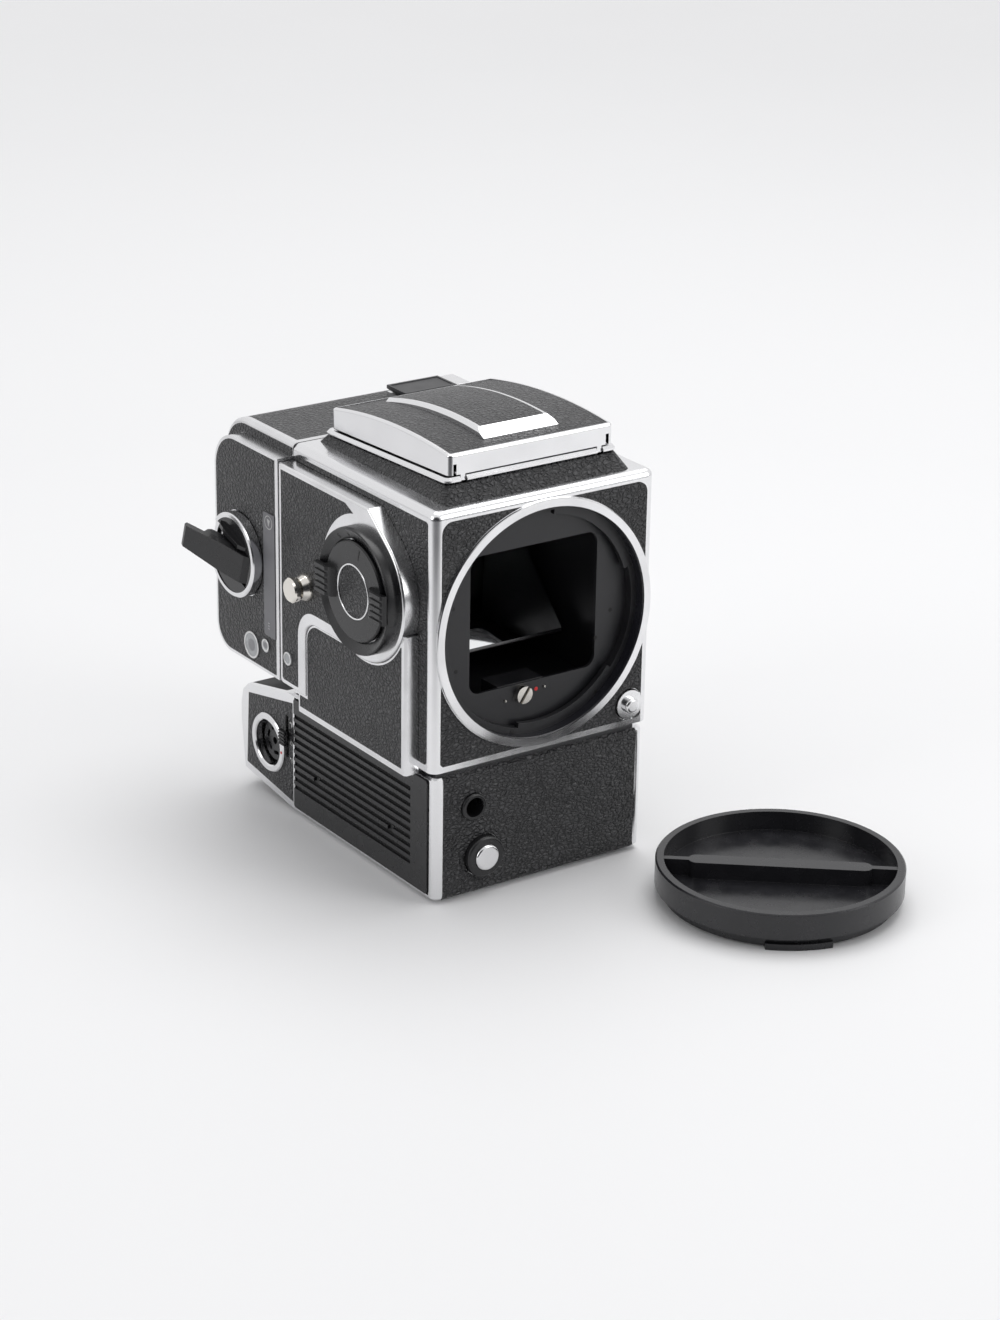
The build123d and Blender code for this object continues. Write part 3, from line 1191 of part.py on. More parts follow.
with BuildPart() as magazine_leather:
    with BuildSketch(side_plane(plate_x - 0.1)):
        add(cover_patch)
        with Locations((crank_y, crank_z)):
            Circle(crank_r + 0.3, mode=Mode.SUBTRACT)
        for y, z, r in window_places:
            with Locations((y, z)):
                Circle(r + 0.2, mode=Mode.SUBTRACT)
    extrude(amount=leather_thick + 0.1)
    with BuildSketch(side_plane(-half_body + 3.1)):
        add(rounded_side(magazine_front + 2.5, magazine_bottom + 0.05, magazine_rear - 0.05,
                         magazine_top - 0.05, 13.95, 9.95))
        add(wrap_side, mode=Mode.SUBTRACT)
    extrude(amount=2 * half_body - 6.2)
    block((catch_x - 10.1, catch_y - 6.7, magazine_top - 2),
          (catch_x + 17.1, catch_y + 6.7, magazine_top + 1), mode=Mode.SUBTRACT)
    for x in (-half_body - 0.2, half_body):
        with BuildSketch(side_plane(x)):
            add(rounded_side(magazine_front + 0.6, magazine_bottom + 1.7, magazine_rear - 1.7,
                             magazine_top - 1.7, 12.3, 8.3))
            add(rounded_side(magazine_front - 1, side_cover_bottom - 0.1, side_cover_rear + 0.1,
                             side_cover_top + 0.1, 13.1, 9.6), mode=Mode.SUBTRACT)
        extrude(amount=0.2)
write(magazine_leather, "magazine_leather")

with BuildPart() as magazine_windows:
    for y, z, r in window_places:
        rod_x(r, plate_x - 0.2, plate_x + 2.0, y, z)
write(magazine_windows, "magazine_windows")

with BuildPart() as magazine_catch:
    block((catch_x - 10.5, catch_y - 6.0, track_top + running_gap),
          (catch_x + 10.5, catch_y + 6.0, track_top + 2.5))
    chamfer(magazine_catch.faces().sort_by(Axis.Z)[0].edges(), 1.0)
    block((catch_x - 9.6, catch_y - 5.1, track_top + 2.25), (catch_x + 9.6, catch_y + 5.1, track_top + 3),
          mode=Mode.SUBTRACT)
    block((catch_x - 2.0, catch_y - 2.0, magazine_top - 2.0),
          (catch_x + 2.0, catch_y + 2.0, track_top + 1))
write(magazine_catch, "magazine_catch")

# Film crank: hub with a slot, bright rim with a notch, folding handle
hub_x = plate_x - 3.6
slot_half = 6.1
pivot_x = plate_x - 1.6
pivot_y = crank_y - 8.0
crank_axis = Axis((0, crank_y, crank_z), (1, 0, 0))
inner_x = spool_length / 2 + 1.3
with BuildPart() as crank_hub:
    rod_x(crank_r - 1.7, hub_x, plate_x + 1.7, crank_y, crank_z)
    block((hub_x - 1, pivot_y - 3.2, crank_z - slot_half),
          (plate_x + 1.1, crank_y + crank_r, crank_z + slot_half), mode=Mode.SUBTRACT)
    rod_z(1.05, crank_z - slot_half - 2.0, crank_z + slot_half + 2.0, pivot_x, pivot_y,
          mode=Mode.SUBTRACT)
    rod_x(winding_shaft_r, plate_x + 1.0, -inner_x - 3.75, crank_y, crank_z)
    # fin along the upper side of the slot
    with BuildSketch(flat_plane(crank_z + slot_half + 0.1)):
        shape([(hub_x + 0.5, crank_y - 8.0), (hub_x - 1.6, crank_y - 4.5), (hub_x - 1.9, crank_y + 3.0),
               (hub_x - 1.2, crank_y + 8.5), (hub_x + 0.5, crank_y + 10.5)])
    extrude(amount=1.6)
crank_hub.part = crank_hub.part.rotate(crank_axis, crank_turn)
write(crank_hub, "crank_hub")

with BuildPart() as crank_rim:
    rod_x(crank_r, hub_x - 0.3, plate_x - running_gap, crank_y, crank_z)
    chamfer(crank_rim.edges().group_by(Axis.X)[0], 0.4)
    rod_x(crank_r - 1.7, hub_x - 1, plate_x, crank_y, crank_z, mode=Mode.SUBTRACT)
    block((hub_x - 1, crank_y, crank_z - slot_half),
          (pivot_x - 0.6, crank_y + crank_r + 1, crank_z + slot_half), mode=Mode.SUBTRACT)
crank_rim.part = crank_rim.part.rotate(crank_axis, crank_turn)
write(crank_rim, "crank_rim")

handle_half = slot_half - 0.6
well_run = crank_y - pivot_y + ((crank_r - 2.1) ** 2 - handle_half ** 2) ** 0.5
grip_run = crank_y - pivot_y + crank_r + 0.5


def handle_point(run, rise):
    """Point of the crank handle in (x, y): along it from its pivot, and away from the hub."""
    turn = radians(crank_open)
    return (pivot_x - run * sin(turn) - rise * cos(turn), pivot_y + run * cos(turn) - rise * sin(turn))


with BuildPart() as crank_handle:
    with BuildSketch(flat_plane(crank_z - handle_half)):
        shape([handle_point(-1.8, -1.6), handle_point(2.6, -2.0), handle_point(2.6, 1.0),
               handle_point(crank_length, 1.0), handle_point(crank_length, 2.2),
               handle_point(crank_length - 1.2, 3.0), handle_point(0.8, 3.0), handle_point(-1.8, 1.6)])
    extrude(amount=2 * handle_half)
    with BuildSketch(flat_plane(crank_z - handle_half + 3.0)):
        shape([handle_point(2.5, -2.0), handle_point(well_run - 1.0, -2.0), handle_point(well_run, -1.0),
               handle_point(well_run, 1.1), handle_point(2.5, 1.1)])
    extrude(amount=2 * handle_half - 3.0)
    with BuildSketch(flat_plane(crank_z - 1.0)):
        shape([handle_point(grip_run, 0.3), handle_point(grip_run + 2.0, 0.3),
               handle_point(grip_run + 2.0, 1.1), handle_point(grip_run, 1.1)])
    extrude(amount=2.0)
    # narrower towards the far end
    with BuildSketch(side_plane(pivot_x - crank_length)):
        shape([(pivot_y - 5, crank_z - handle_half), (pivot_y + 8, crank_z - handle_half),
               (pivot_y + crank_length, crank_z - handle_half + 1.5),
               (pivot_y + crank_length, crank_z + handle_half - 1.5),
               (pivot_y + 8, crank_z + handle_half), (pivot_y - 5, crank_z + handle_half)])
    extrude(amount=2 * crank_length, mode=Mode.INTERSECT)
    rod_z(1.0, crank_z - slot_half - 1.8, crank_z + slot_half + 1.8, pivot_x, pivot_y)
crank_handle.part = crank_handle.part.rotate(crank_axis, crank_turn)
write(crank_handle, "crank_handle")

# Dark slide with a wire-like grip
grip_x = half_body + plate_rise + 0.6
with BuildPart() as dark_slide:
    block((-film_gate / 2 - 1.2, slide_y - slide_thick / 2, -film_gate / 2 - 0.8),
          (grip_x + 0.5, slide_y + slide_thick / 2, film_gate / 2 + 0.8))
    block((grip_x, slide_y - 1.1, -15), (grip_x + 11, slide_y + 1.1, 15))
    fillet(dark_slide.edges().filter_by(Axis.Y).group_by(Axis.X)[-1], 3.0)
    block((grip_x + 2.2, slide_y - 2, -12.4), (grip_x + 8.8, slide_y + 2, 12.4), mode=Mode.SUBTRACT)
write(dark_slide, "dark_slide")

# Film insert: end plate with its key, inner plates, tie rods, pressure plate
spool_y = magazine_front + 27.1
spool_z = 22.0
insert_front = gate_back + 1.2
insert_rear = chamber_rear - 0.7
insert_half_z = spool_z + spool_r + 1.0
spool_pin_r = 3.0
key_y = gate_back + 18.0
end_side = rounded_side(gate_back + 0.2, side_cover_bottom, side_cover_rear, side_cover_top, 13.0, 9.5)
with BuildPart() as insert_frame:
    with BuildSketch(side_plane(half_body + running_gap)):
        add(end_side)
    extrude(amount=plate_rise - running_gap)
    chamfer(insert_frame.faces().sort_by(Axis.X)[-1].outer_wire().edges(), 0.6)
    for x in (-inner_x - 2.0, inner_x):
        block((x, insert_front, -insert_half_z), (x + 2.0, insert_rear, insert_half_z))
    block((inner_x + 1, spool_y - 10, -7), (half_body + 1, spool_y + 10, 7))
    for y, z in ((insert_front + 3.4, insert_half_z - 2.4), (insert_front + 3.4, 2.4 - insert_half_z),
                 (insert_rear - 2.4, 0)):
        rod_x(1.6, -inner_x - 1, inner_x + 1, y, z)
    block((-inner_x - 0.5, insert_front - 0.2, -film_gate / 2 - 1),
          (inner_x + 0.5, insert_front + 1.0, film_gate / 2 + 1))
    for z in (-spool_z, spool_z):
        for x in (-inner_x, inner_x):
            rod_x(spool_pin_r, x, x - 6.0 if x > 0 else x + 6.0, spool_y, z)
    rod_x(9.6, half_body + plate_rise - 1.6, half_body + plate_rise + 1, key_y, 0, mode=Mode.SUBTRACT)
    rod_x(2.5 + shaft_gap, half_body + 2.0, half_body + plate_rise, key_y, 0, mode=Mode.SUBTRACT)
write(insert_frame, "insert_frame")

with BuildPart() as insert_key:
    rod_x(9.2, half_body + plate_rise - 1.3, half_body + plate_rise + 0.6, key_y, 0)
    block((half_body + plate_rise + 0.5, key_y - 8.0, -1.6),
          (half_body + plate_rise + 2.8, key_y + 8.0, 1.6))
    rod_x(2.5, half_body + 2.3, half_body + plate_rise, key_y, 0)
write(insert_key, "insert_key")

for label, z, wound_r in (("takeup_spool", spool_z, 7.2), ("supply_roll", -spool_z, roll_r)):
    with BuildPart() as spool:
        rod_x(wound_r, -spool_length / 2, spool_length / 2, spool_y, z)
        for x in (-spool_length / 2, spool_length / 2 - spool_flange):
            rod_x(spool_r, x, x + spool_flange, spool_y, z)
        rod_x(spool_pin_r + shaft_gap, -spool_length / 2 - 1, spool_length / 2 + 1, spool_y, z,
              mode=Mode.SUBTRACT)
    write(spool, label)

# Body cap, face up: stepped skirt with lugs, dished inside, grip bar across
cap_top = floor_z + cap_height
cap_skirt_r = cap_r - 2.6
cap_floor = cap_top - 6.8
cap_centre = Location((cap_x, cap_y, 0), (0, 0, cap_turn))
with BuildPart() as body_cap:
    rod_z(cap_r, floor_z + 4.4, cap_top, cap_x, cap_y)
    chamfer(body_cap.edges().group_by(Axis.Z)[-1], 0.5)
    rod_z(cap_skirt_r, floor_z + 1.0, floor_z + 4.5, cap_x, cap_y)
    with BuildSketch(flat_plane(floor_z)):
        with Locations(cap_centre):
            with PolarLocations(cap_skirt_r, 3, start_angle=40):
                Rectangle(14, 22)
            Circle(cap_skirt_r + 1.4, mode=Mode.INTERSECT)
    extrude(amount=2.2)
    rod_z(cap_r - 2.8, cap_floor, cap_top + 1, cap_x, cap_y, mode=Mode.SUBTRACT)
    rod_z(cap_skirt_r - 2.2, floor_z - 1, cap_floor - 1.8, cap_x, cap_y, mode=Mode.SUBTRACT)
    with BuildSketch(flat_plane(cap_floor - 0.5)):
        with Locations(cap_centre):
            Rectangle(2 * cap_r - 5.0, 2.4)
            RectangleRounded(2 * cap_r - 22.0, 6.4, 3.0)
    extrude(amount=cap_top - cap_floor - 0.5)
write(body_cap, "body_cap")
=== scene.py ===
"""Studio view of a motor-drive medium format camera body with its loose body cap."""
import json
import math

import bpy
from mathutils import Matrix, Vector

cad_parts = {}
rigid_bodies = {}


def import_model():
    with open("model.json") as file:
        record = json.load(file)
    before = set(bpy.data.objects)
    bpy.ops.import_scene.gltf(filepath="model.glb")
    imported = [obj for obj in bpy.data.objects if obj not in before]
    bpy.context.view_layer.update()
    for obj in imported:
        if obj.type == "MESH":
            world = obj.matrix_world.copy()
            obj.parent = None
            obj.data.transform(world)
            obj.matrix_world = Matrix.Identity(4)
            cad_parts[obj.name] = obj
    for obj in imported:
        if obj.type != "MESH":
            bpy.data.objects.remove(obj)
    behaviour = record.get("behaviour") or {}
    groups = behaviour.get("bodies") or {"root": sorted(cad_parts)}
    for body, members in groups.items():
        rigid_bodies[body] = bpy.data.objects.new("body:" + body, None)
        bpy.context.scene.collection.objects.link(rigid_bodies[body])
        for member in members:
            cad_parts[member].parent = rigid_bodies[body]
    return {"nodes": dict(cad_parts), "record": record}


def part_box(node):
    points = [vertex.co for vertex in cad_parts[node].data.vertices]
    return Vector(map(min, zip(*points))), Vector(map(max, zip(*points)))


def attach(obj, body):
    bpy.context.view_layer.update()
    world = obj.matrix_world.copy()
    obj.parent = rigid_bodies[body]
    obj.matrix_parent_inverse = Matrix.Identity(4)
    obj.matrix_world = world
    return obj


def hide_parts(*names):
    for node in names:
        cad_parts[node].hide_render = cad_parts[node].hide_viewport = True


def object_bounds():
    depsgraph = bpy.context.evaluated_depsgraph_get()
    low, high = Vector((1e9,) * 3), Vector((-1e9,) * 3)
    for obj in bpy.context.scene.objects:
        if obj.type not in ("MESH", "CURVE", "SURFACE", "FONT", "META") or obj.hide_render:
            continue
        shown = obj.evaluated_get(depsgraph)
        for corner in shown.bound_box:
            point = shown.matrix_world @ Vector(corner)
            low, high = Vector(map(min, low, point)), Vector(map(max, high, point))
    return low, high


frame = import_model()
cad_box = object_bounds()

MM = 0.001
LEFT, FRONT, UP = Vector((-1, 0, 0)), Vector((0, -1, 0)), Vector((0, 0, 1))
RIGHT, BACK = -LEFT, -FRONT


# Shader nodes. The owner is a material or the world.
def new_material(name, color, roughness, metallic=0.0, **sockets):
    """Material with one principled shader; sockets are its other inputs."""
    mat = bpy.data.materials.new(name)
    mat.use_nodes = True
    shader = mat.node_tree.nodes["Principled BSDF"]
    shader.inputs["Base Color"].default_value = (*color, 1)
    shader.inputs["Roughness"].default_value = roughness
    shader.inputs["Metallic"].default_value = metallic
    for socket, value in sockets.items():
        shader.inputs[socket.replace("_", " ")].default_value = value
    return mat


def add_node(owner, kind, inputs=None, **settings):
    """Node of that kind with its settings; an input given as a socket is linked."""
    node = owner.node_tree.nodes.new("ShaderNode" + kind)
    for key, value in settings.items():
        setattr(node, key, value)
    for key, value in (inputs or {}).items():
        if isinstance(value, bpy.types.NodeSocket):
            owner.node_tree.links.new(value, node.inputs[key])
        else:
            node.inputs[key].default_value = value
    return node


def link(mat, output, socket):
    """Link an output to an input of the material's shader."""
    mat.node_tree.links.new(output, mat.node_tree.nodes["Principled BSDF"].inputs[socket])


def calculate(owner, operation, first, second):
    """Result of a maths operation on two values."""
    return add_node(owner, "Math", {0: first, 1: second}, operation=operation).outputs[0]


def object_place(mat):
    """Position in the row frame, in metres."""
    return add_node(mat, "TexCoord").outputs["Object"]


def noise(mat, scale, detail=3.0, stretch=(1, 1, 1)):
    """Noise whose features are about 1 / scale metres wide, before the stretch."""
    inputs = {"Vector": object_place(mat), "Scale": stretch}
    place = add_node(mat, "Mapping", inputs).outputs["Vector"]
    inputs = {"Vector": place, "Scale": scale, "Detail": detail}
    return add_node(mat, "TexNoise", inputs).outputs["Fac"]


def spread(mat, value, low, high, start=0.3, end=0.7):
    """Low to high as the value goes from start to end; noise mostly lies from 0.3 to 0.7."""
    inputs = {"Value": value, "From Min": start, "From Max": end, "To Min": low, "To Max": high}
    return add_node(mat, "MapRange", inputs).outputs["Result"]


def smooth_step(owner, value, start, end):
    """0 to 1 with soft ends as the value goes from start to end."""
    inputs = {"Value": value, "From Min": start, "From Max": end}
    node = add_node(owner, "MapRange", inputs, interpolation_type="SMOOTHSTEP")
    return node.outputs["Result"]


def mix_colors(owner, factor, low, high):
    """Colour between two colours; the low one may be a socket."""
    start = low if isinstance(low, bpy.types.NodeSocket) else (*low, 1)
    inputs = {"Factor": factor, "A": start, "B": (*high, 1)}
    return add_node(owner, "Mix", inputs, data_type="RGBA").outputs["Result"]


def add_bump(mat, height, depth, edge=None):
    """Bump of that depth in metres, over edges rounded by a small radius."""
    inputs = {"Height": height, "Distance": depth, "Strength": 1.0}
    if edge:
        inputs["Normal"] = add_node(mat, "Bevel", {"Radius": edge}, samples=4).outputs["Normal"]
    link(mat, add_node(mat, "Bump", inputs).outputs["Normal"], "Normal")


def inside_box(mat, low, high):
    """1 inside a box given in millimetres, 0 outside."""
    half = (Vector(high) - Vector(low)) * MM / 2
    middle = (Vector(high) + Vector(low)) * MM / 2
    scale = Vector((1 / half.x, 1 / half.y, 1 / half.z))
    inputs = {"Vector": object_place(mat), "Scale": scale, "Location": -middle * scale}
    moved = add_node(mat, "Mapping", inputs).outputs["Vector"]
    size = add_node(mat, "VectorMath", {0: moved}, operation="ABSOLUTE").outputs["Vector"]
    parts = add_node(mat, "SeparateXYZ", {"Vector": size}).outputs
    largest = calculate(mat, "MAXIMUM", parts["X"], parts["Y"])
    largest = calculate(mat, "MAXIMUM", largest, parts["Z"])
    return calculate(mat, "LESS_THAN", largest, 1.0)


# Materials
CHROME = (0.80, 0.80, 0.81)
CASTING_ROUGHNESS = (0.14, 0.26)


def chrome_material(name, color, smoothest, roughest, black_box=None):
    """Plated metal, slightly uneven, with fine handling marks; black paint inside a box."""
    paint, paint_roughness, dullness = (0.006, 0.006, 0.007), 0.4, 0.86
    mat = new_material(name, color, smoothest, 1.0)
    patches = noise(mat, 60, 4.0)
    roughness = spread(mat, patches, smoothest, roughest)
    if black_box:
        inside = inside_box(mat, *black_box)
        link(mat, mix_colors(mat, inside, color, paint), "Base Color")
        link(mat, spread(mat, inside, 1.0, 0.0, 0.0, 1.0), "Metallic")
        added = calculate(mat, "MULTIPLY", inside, paint_roughness)
        roughness = calculate(mat, "ADD", roughness, added)
    else:
        dull = tuple(dullness * part for part in color)
        share = spread(mat, patches, 0.0, 1.0, 0.35, 0.75)
        link(mat, mix_colors(mat, share, color, dull), "Base Color")
    link(mat, roughness, "Roughness")
    scratches = noise(mat, 900, 2.0, (1.0, 1.0, 0.12))
    add_bump(mat, scratches, 0.004 * MM)
    return mat


def mirror_material(name):
    """Front-silvered mirror, whose slope along Y makes it reflect as if set a little steeper."""
    slope = 0.11
    mat = new_material(name, (0.92, 0.93, 0.94), 0.02, 1.0)
    link(mat, spread(mat, noise(mat, 140, 4.0), 0.02, 0.05), "Roughness")
    along = add_node(mat, "SeparateXYZ", {"Vector": object_place(mat)}).outputs["Y"]
    add_bump(mat, calculate(mat, "MULTIPLY", along, 1 / MM), slope * MM)
    return mat


def leather_material(name, dark, light, cell, depth, roughness):
    """Grained leatherette: raised cells of a size in metres, with creases between them, darkened in
    colour as painted shade.
    """
    wander_scale, wander_size = 0.45, 1.3
    stretch, turn, crease_width = (1.0, 1.0, 1.5), (0.5, 0.5, 0.0), 0.3
    mat = new_material(name, dark, roughness)
    place = object_place(mat)
    inputs = {"Vector": place, "Scale": wander_scale / cell, "Detail": 2.0}
    wander = add_node(mat, "TexNoise", inputs).outputs["Color"]
    shift = add_node(mat, "VectorMath", {0: wander, 1: (0.5, 0.5, 0.5)},
                     operation="SUBTRACT").outputs["Vector"]
    shift = add_node(mat, "VectorMath", {0: shift, "Scale": wander_size * cell},
                     operation="SCALE").outputs["Vector"]
    moved = add_node(mat, "VectorMath", {0: place, 1: shift}, operation="ADD").outputs["Vector"]
    inputs = {"Vector": moved, "Scale": stretch, "Rotation": turn}
    grain_place = add_node(mat, "Mapping", inputs).outputs["Vector"]
    creases = add_node(mat, "TexVoronoi", {"Vector": grain_place, "Scale": 1 / cell},
                       feature="DISTANCE_TO_EDGE").outputs["Distance"]
    height = smooth_step(mat, creases, 0.0, crease_width)
    fine = noise(mat, 3.2 / cell, 2.0)
    patches = noise(mat, 0.12 / cell, 3.0)
    # Colour: painted shade darkens the creases, and the cells' own tone varies at random in
    # patches.
    crease_shade_and_tone = calculate(mat, "MULTIPLY", height, spread(mat, patches, 0.55, 1.0))
    link(mat, mix_colors(mat, crease_shade_and_tone, dark, light), "Base Color")
    link(mat, spread(mat, fine, roughness - 0.08, roughness + 0.12), "Roughness")
    add_bump(mat, calculate(mat, "ADD", height, spread(mat, fine, 0.0, 0.3)), depth)
    return mat


def plain_material(name, color, roughness, grain=0.002, metallic=0.0, **sockets):
    """Moulded or painted surface, uneven in colour and gloss, with a grain in millimetres."""
    edge = 0.18
    mat = new_material(name, color, roughness, metallic, **sockets)
    patches = noise(mat, 140, 4.0)
    worn = tuple(1.25 * part + 0.002 for part in color)
    share = spread(mat, patches, 0.0, 1.0, 0.35, 0.75)
    link(mat, mix_colors(mat, share, color, worn), "Base Color")
    link(mat, spread(mat, patches, roughness - 0.05, roughness + 0.07), "Roughness")
    add_bump(mat, noise(mat, 2600, 2.0), grain * MM, edge * MM)
    return mat


# Colour, least and greatest roughness
metals = {
    "chrome": (CHROME, 0.10, 0.2),
    "bright_casting": (CHROME, *CASTING_ROUGHNESS),
    "nickel": ((0.78, 0.75, 0.70), 0.10, 0.18),
    "gear_steel": ((0.52, 0.52, 0.53), 0.28, 0.4),
    "gear_brass": ((0.72, 0.53, 0.25), 0.25, 0.4),
    "motor_steel": ((0.45, 0.45, 0.46), 0.3, 0.45),
    "pin_metal": ((0.62, 0.60, 0.56), 0.2, 0.3),
}
# Colour, roughness, and where they differ from the usual the grain and the metallic share
plain_surfaces = {
    "black_plastic": ((0.008, 0.008, 0.009), 0.27, 0.005),
    "black_metal": ((0.012, 0.012, 0.014), 0.38, 0.004),
    "cap_plastic": ((0.012, 0.012, 0.014), 0.24, 0.004),
    "window": ((0.34, 0.35, 0.36), 0.25),
    "battery": ((0.30, 0.33, 0.37), 0.35),
    "rubber": ((0.02, 0.02, 0.02), 0.7, 0.02),
    "film_paper": ((0.16, 0.15, 0.14), 0.55, 0.01),
    "liner_black": ((0.012, 0.012, 0.016), 0.22),
    "gloss_black": ((0.008, 0.008, 0.009), 0.16),
    "screw_black": ((0.02, 0.02, 0.02), 0.3, 0.002, 0.4),
    # Near black: engraved figures and lines, and painted shade for holes and slots.
    "engraved": ((0.003, 0.003, 0.003), 0.6),
    "strip_grey": ((0.13, 0.13, 0.14), 0.42),
    "rim_pale": ((0.62, 0.62, 0.62), 0.3, 0.001, 0.5),
    "mark_white": ((0.75, 0.75, 0.73), 0.5),
    "mark_grey": ((0.42, 0.42, 0.42), 0.5),
    "mark_dark": ((0.20, 0.20, 0.21), 0.4),
    "mark_red": ((0.55, 0.02, 0.02), 0.4),
}
materials = {name: chrome_material(name, *row) for name, row in metals.items()}
for name, row in plain_surfaces.items():
    materials[name] = plain_material(name, *row)
# Leather: the dark colour is painted shade in the creases, the light one is the cells' colour.
materials["leather"] = leather_material("leather", (0.006, 0.006, 0.007), (0.046, 0.046, 0.049),
                                        1.9 * MM, 0.42 * MM, 0.32)
materials["mirror"] = mirror_material("mirror")
materials["optical_glass"] = plain_material("optical_glass", (0.95, 0.97, 0.97), 0.08,
                                            Transmission_Weight=0.9)

# Castings whose inner walls are painted black, with the box that the paint fills, in millimetres
black_inside = {
    "body_shell": ((-41.2, 1.7, -42.5), (41.2, 83.3, 43.2)),
    "base_shell": ((-40.3, 3.4, -88.2), (40.3, 121.5, -47.6)),
    "hood_frame": ((-31.2, 11.0, 40.0), (31.2, 79.5, 60.0)),
    "hood_lid": ((-31.2, 10.9, 40.0), (31.2, 78.4, 54.5)),
}
slots = {row["node"]: row["material_slot"] for row in frame["record"]["subparts"]}
for node, piece in frame["nodes"].items():
    piece.data.materials.clear()
    if node in black_inside:
        finish = chrome_material(node + "_finish", CHROME, *CASTING_ROUGHNESS, black_inside[node])
    else:
        finish = materials["gloss_black" if node == "crank_hub" else slots[node]]
    piece.data.materials.append(finish)


# Shapes. Places and sizes are in millimetres. The look names a material, and without one the
# piece has the material that is named like its slot.
def add_object(name, data):
    """Object in the scene."""
    item = bpy.data.objects.new(name, data)
    bpy.context.scene.collection.objects.link(item)
    return item


def dress(name, mesh, body, slot, look):
    """Piece made of a mesh, riding on a body."""
    mesh.materials.append(materials[look or slot])
    piece = add_object(name, mesh)
    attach(piece, body)
    return piece


def finish_piece(name, points, faces, body, slot, look):
    """Piece from points in metres, smooth where its faces meet at small angles."""
    mesh = bpy.data.meshes.new(name)
    mesh.from_pydata(points, [], faces)
    mesh.validate()
    for face in mesh.polygons:
        face.use_smooth = True
    mesh.set_sharp_from_angle(angle=math.radians(35))
    return dress(name, mesh, body, slot, look)


def across(axis):
    """Two unit vectors square to an axis."""
    helper = UP if abs(axis.z) < 0.9 else BACK
    first = axis.cross(helper).normalized()
    return first, axis.cross(first).normalized()


def turned(name, centre, axis, profile, body, slot, look=None, steps=64):
    """Solid of revolution: profile holds (radius, height along the axis)."""
    first, second = across(axis)
    points, faces = [], []
    for radius, height in profile:
        for i in range(steps):
            angle = 2 * math.pi * i / steps
            out = first * math.cos(angle) + second * math.sin(angle)
            points.append((centre + axis * height + out * radius) * MM)
    rows = len(profile)
    for row in range(rows):
        below, above = row * steps, ((row + 1) % rows) * steps
        for i in range(steps):
            j = (i + 1) % steps
            faces.append((below + i, below + j, above + j, above + i))
    return finish_piece(name, points, faces, body, slot, look)


def disc(name, centre, axis, radius, rise, body, slot, look=None, edge=0.1, steps=48):
    """Disc with a softened rim, its back at the centre and its face raised."""
    middle = 0.001
    profile = [(middle, 0), (radius, 0), (radius, rise - edge), (radius - edge, rise),
               (middle, rise)]
    return turned(name, centre, axis, profile, body, slot, look, steps)


def ring(name, centre, axis, outer, inner, rise, body, slot, look=None, steps=48):
    """Flat ring with a softened rim."""
    edge = min(0.12, (outer - inner) / 4)
    profile = [(inner, 0), (outer, 0), (outer, rise - edge), (outer - edge, rise),
               (inner + edge, rise), (inner, rise - edge)]
    return turned(name, centre, axis, profile, body, slot, look, steps)


def bar(name, centre, size, turn, axis, body, slot, look=None):
    """Block with size (along, across, rise), turned about the axis it rises along."""
    length, width, rise = size
    first, second = across(axis)
    along = first * math.cos(turn) + second * math.sin(turn)
    aside = axis.cross(along)
    points = []
    for height in (0, rise):
        for a, b in ((-1, -1), (1, -1), (1, 1), (-1, 1)):
            place = centre + along * a * length / 2 + aside * b * width / 2 + axis * height
            points.append(place * MM)
    faces = [(3, 2, 1, 0), (4, 5, 6, 7), (0, 1, 5, 4), (1, 2, 6, 5), (2, 3, 7, 6), (3, 0, 4, 7)]
    return finish_piece(name, points, faces, body, slot, look)


def plate(name, outline, centre, right, normal, rise, body, slot, look=None):
    """Flat plate from an outline of (right, up) points round a centre."""
    upward = normal.cross(right)
    count = len(outline)
    points = [(centre + right * a + upward * b + normal * height) * MM
              for height in (0, rise) for a, b in outline]
    faces = [tuple(reversed(range(count))), tuple(range(count, 2 * count))]
    for i in range(count):
        j = (i + 1) % count
        faces.append((i, j, count + j, count + i))
    return finish_piece(name, points, faces, body, slot, look)


def rounded(width, height, radii, steps=8):
    """Outline of a rectangle with its own radius at each corner, from the lower left round."""
    points = []
    corner_places = ((-1, -1, 180), (1, -1, 270), (1, 1, 0), (-1, 1, 90))
    for (a, b, start), radius in zip(corner_places, radii):
        for i in range(steps + 1):
            angle = math.radians(start + 90 * i / steps)
            points.append((a * (width / 2 - radius) + radius * math.cos(angle),
                           b * (height / 2 - radius) + radius * math.sin(angle)))
    return points


def lettering(name, words, centre, height, right, normal, body, slot, look):
    """Raised characters of a height, centred on a point."""
    size_per_height, depth = 1.35, 0.08
    curve = bpy.data.curves.new(name, "FONT")
    curve.body = words
    curve.size = height * size_per_height * MM
    curve.extrude = depth / 2 * MM
    curve.align_x, curve.align_y = "CENTER", "CENTER"
    draft = add_object(name + "_draft", curve)
    mesh = bpy.data.meshes.new_from_object(draft)
    bpy.data.objects.remove(draft)
    turn = Matrix((right, normal.cross(right), normal)).transposed().to_4x4()
    mesh.transform(Matrix.Translation(centre * MM) @ turn)
    mesh.materials.clear()
    mesh.name = name
    return dress(name, mesh, body, slot, look)


def corners(node):
    """Lowest and highest corner of a CAD node."""
    low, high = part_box(node)
    return low / MM, high / MM


def side_centre(node):
    """Middle of a CAD node in the side view, on its left face."""
    low, high = corners(node)
    return Vector((low.x, (low.y + high.y) / 2, (low.z + high.z) / 2))


def radial(degrees):
    """Direction in the side view, from the back at 0 over the top at 90."""
    angle = math.radians(degrees)
    return Vector((0, math.cos(angle), math.sin(angle)))


